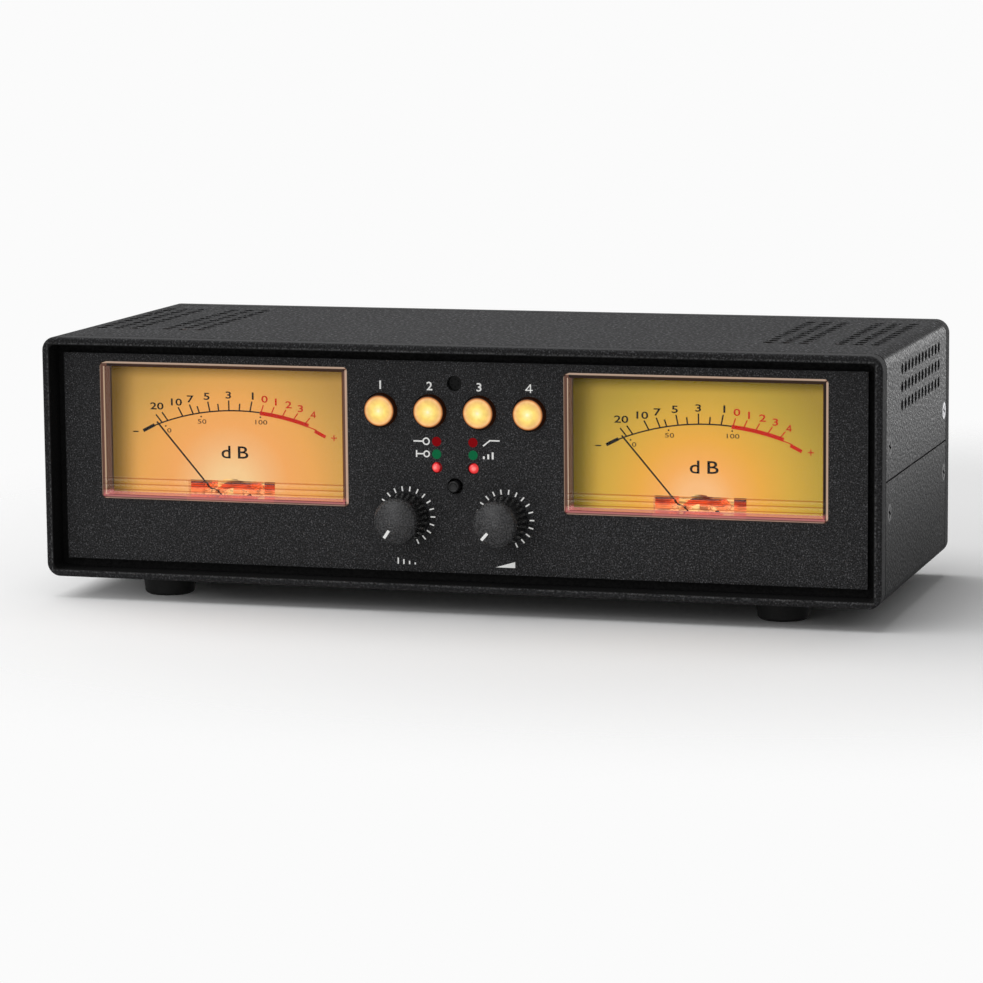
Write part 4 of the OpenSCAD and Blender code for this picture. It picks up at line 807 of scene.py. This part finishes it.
def knob_pointer(side):
    """White inlay in the knob's groove."""
    axis = pivot(side + "_knob_turn")
    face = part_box(side + "_knob")[0][1]
    rest = math.radians(POINTER_REST[side])
    inlay = Print(side + "_knob_pointer", (axis.x, face + 0.3 * MM, axis.z), WHITE_INK,
                  side + "_knob", 0.33)
    ray = Vector((math.sin(rest), math.cos(rest)))
    inlay.stroke(ray * POINTER_FROM, ray * POINTER_TO, 0.8)
    inlay.finish()


# ---- Studio ----

# The backdrop's brightness as it is seen, also in mirrors and through glass, and the light it gives
BACKDROP = 0.965
AMBIENT = 0.2
# The floor carries shadows around this point, and blends into the backdrop between these
# distances from it
SHADOW_MIDDLE = (0.06, 0.08, 0)
FLOOR_NEAR, FLOOR_FAR = 0.17, 0.34
# Each lamp's name, place, width and power; all of them look at the case
LAMPS = (
    ("overhead", (-0.45, 0.0, 1.1), 1.5, 14),
    ("front_fill", (-0.6, -1.7, 0.7), 1.5, 8.5),
    ("rear_right_fill", (0.6, 1.4, 0.3), 0.7, 3.5),
)
LAMP_AIM = Vector((0, 0, 0.03))
# The camera's place and its yaw, pitch and roll in degrees, as fitted to the case's corners
CAMERA_AT = (0.33082, -1.11014, 0.19652)
CAMERA_TURN = (16.758, 8.267, 0.516)
CAMERA_LENS = 144.87


def studio():
    """A pale backdrop on every side, the floor under the case, and the lamps."""
    scene = bpy.context.scene
    scene.view_settings.view_transform = "Standard"
    world = bpy.data.worlds.new("studio")
    scene.world = world
    world.use_nodes = True
    tree = world.node_tree
    background = tree.nodes["Background"]
    path = add_node(tree, "ShaderNodeLightPath")
    direct = number(tree, "MAXIMUM", path.outputs["Is Camera Ray"], path.outputs["Is Glossy Ray"])
    seen = number(tree, "MAXIMUM", direct, path.outputs["Is Transmission Ray"])
    tree.links.new(mix(tree, seen, grey(AMBIENT), grey(BACKDROP)), background.inputs["Color"])
    shadow_floor()
    for name, where, size, power in LAMPS:
        area_light(name, where, size, power)


def shadow_floor():
    """A sheet that carries the shadows and turns clear farther out."""
    floor_material = bpy.data.materials.new("studio_floor")
    floor_material.use_nodes = True
    tree = floor_material.node_tree
    paper = tree.nodes["Principled BSDF"]
    paper.inputs["Base Color"].default_value = grey(0.93)
    paper.inputs["Roughness"].default_value = 0.9
    paper.inputs["Specular IOR Level"].default_value = 0.0
    open_air = add_node(tree, "ShaderNodeBsdfTransparent")
    blend = add_node(tree, "ShaderNodeMixShader")
    away = distance(tree, place(tree, SHADOW_MIDDLE))
    tree.links.new(fade(tree, away, FLOOR_NEAR, FLOOR_FAR), blend.inputs["Fac"])
    tree.links.new(paper.outputs[0], blend.inputs[1])
    tree.links.new(open_air.outputs[0], blend.inputs[2])
    tree.links.new(blend.outputs[0], tree.nodes["Material Output"].inputs["Surface"])
    bpy.ops.mesh.primitive_plane_add(size=3, location=(0, 0, 0))
    floor = bpy.context.object
    floor.name = "floor"
    floor.data.materials.append(floor_material)


def area_light(name, where, size, power):
    light = bpy.data.lights.new(name, "AREA")
    light.size = size
    light.energy = power
    lamp = bpy.data.objects.new(name, light)
    lamp.location = where
    aim = LAMP_AIM - Vector(where)
    lamp.rotation_euler = aim.to_track_quat("-Z", "Y").to_euler()
    bpy.context.scene.collection.objects.link(lamp)


def camera():
    """The photograph's viewpoint: from the front, a little to the right and above."""
    yaw, pitch, roll = (math.radians(angle) for angle in CAMERA_TURN)
    level = math.cos(pitch)
    ahead = Vector((-math.sin(yaw) * level, math.cos(yaw) * level, -math.sin(pitch)))
    level_right = Vector((math.cos(yaw), math.sin(yaw), 0))
    level_down = ahead.cross(level_right)
    right = math.cos(roll) * level_right + math.sin(roll) * level_down
    down = math.cos(roll) * level_down - math.sin(roll) * level_right
    view = bpy.data.cameras.new("camera")
    view.lens = CAMERA_LENS
    view.sensor_width = 36
    view.clip_end = 50
    eye = bpy.data.objects.new("camera", view)
    turn = Matrix((right, -down, -ahead)).transposed()
    eye.matrix_world = Matrix.Translation(CAMERA_AT) @ turn.to_4x4()
    bpy.context.scene.collection.objects.link(eye)
    bpy.context.scene.camera = eye


camera()
dress_nodes()
for side in SIDES:
    dial_print(side)
    knob_pointer(side)
panel_print()
studio()
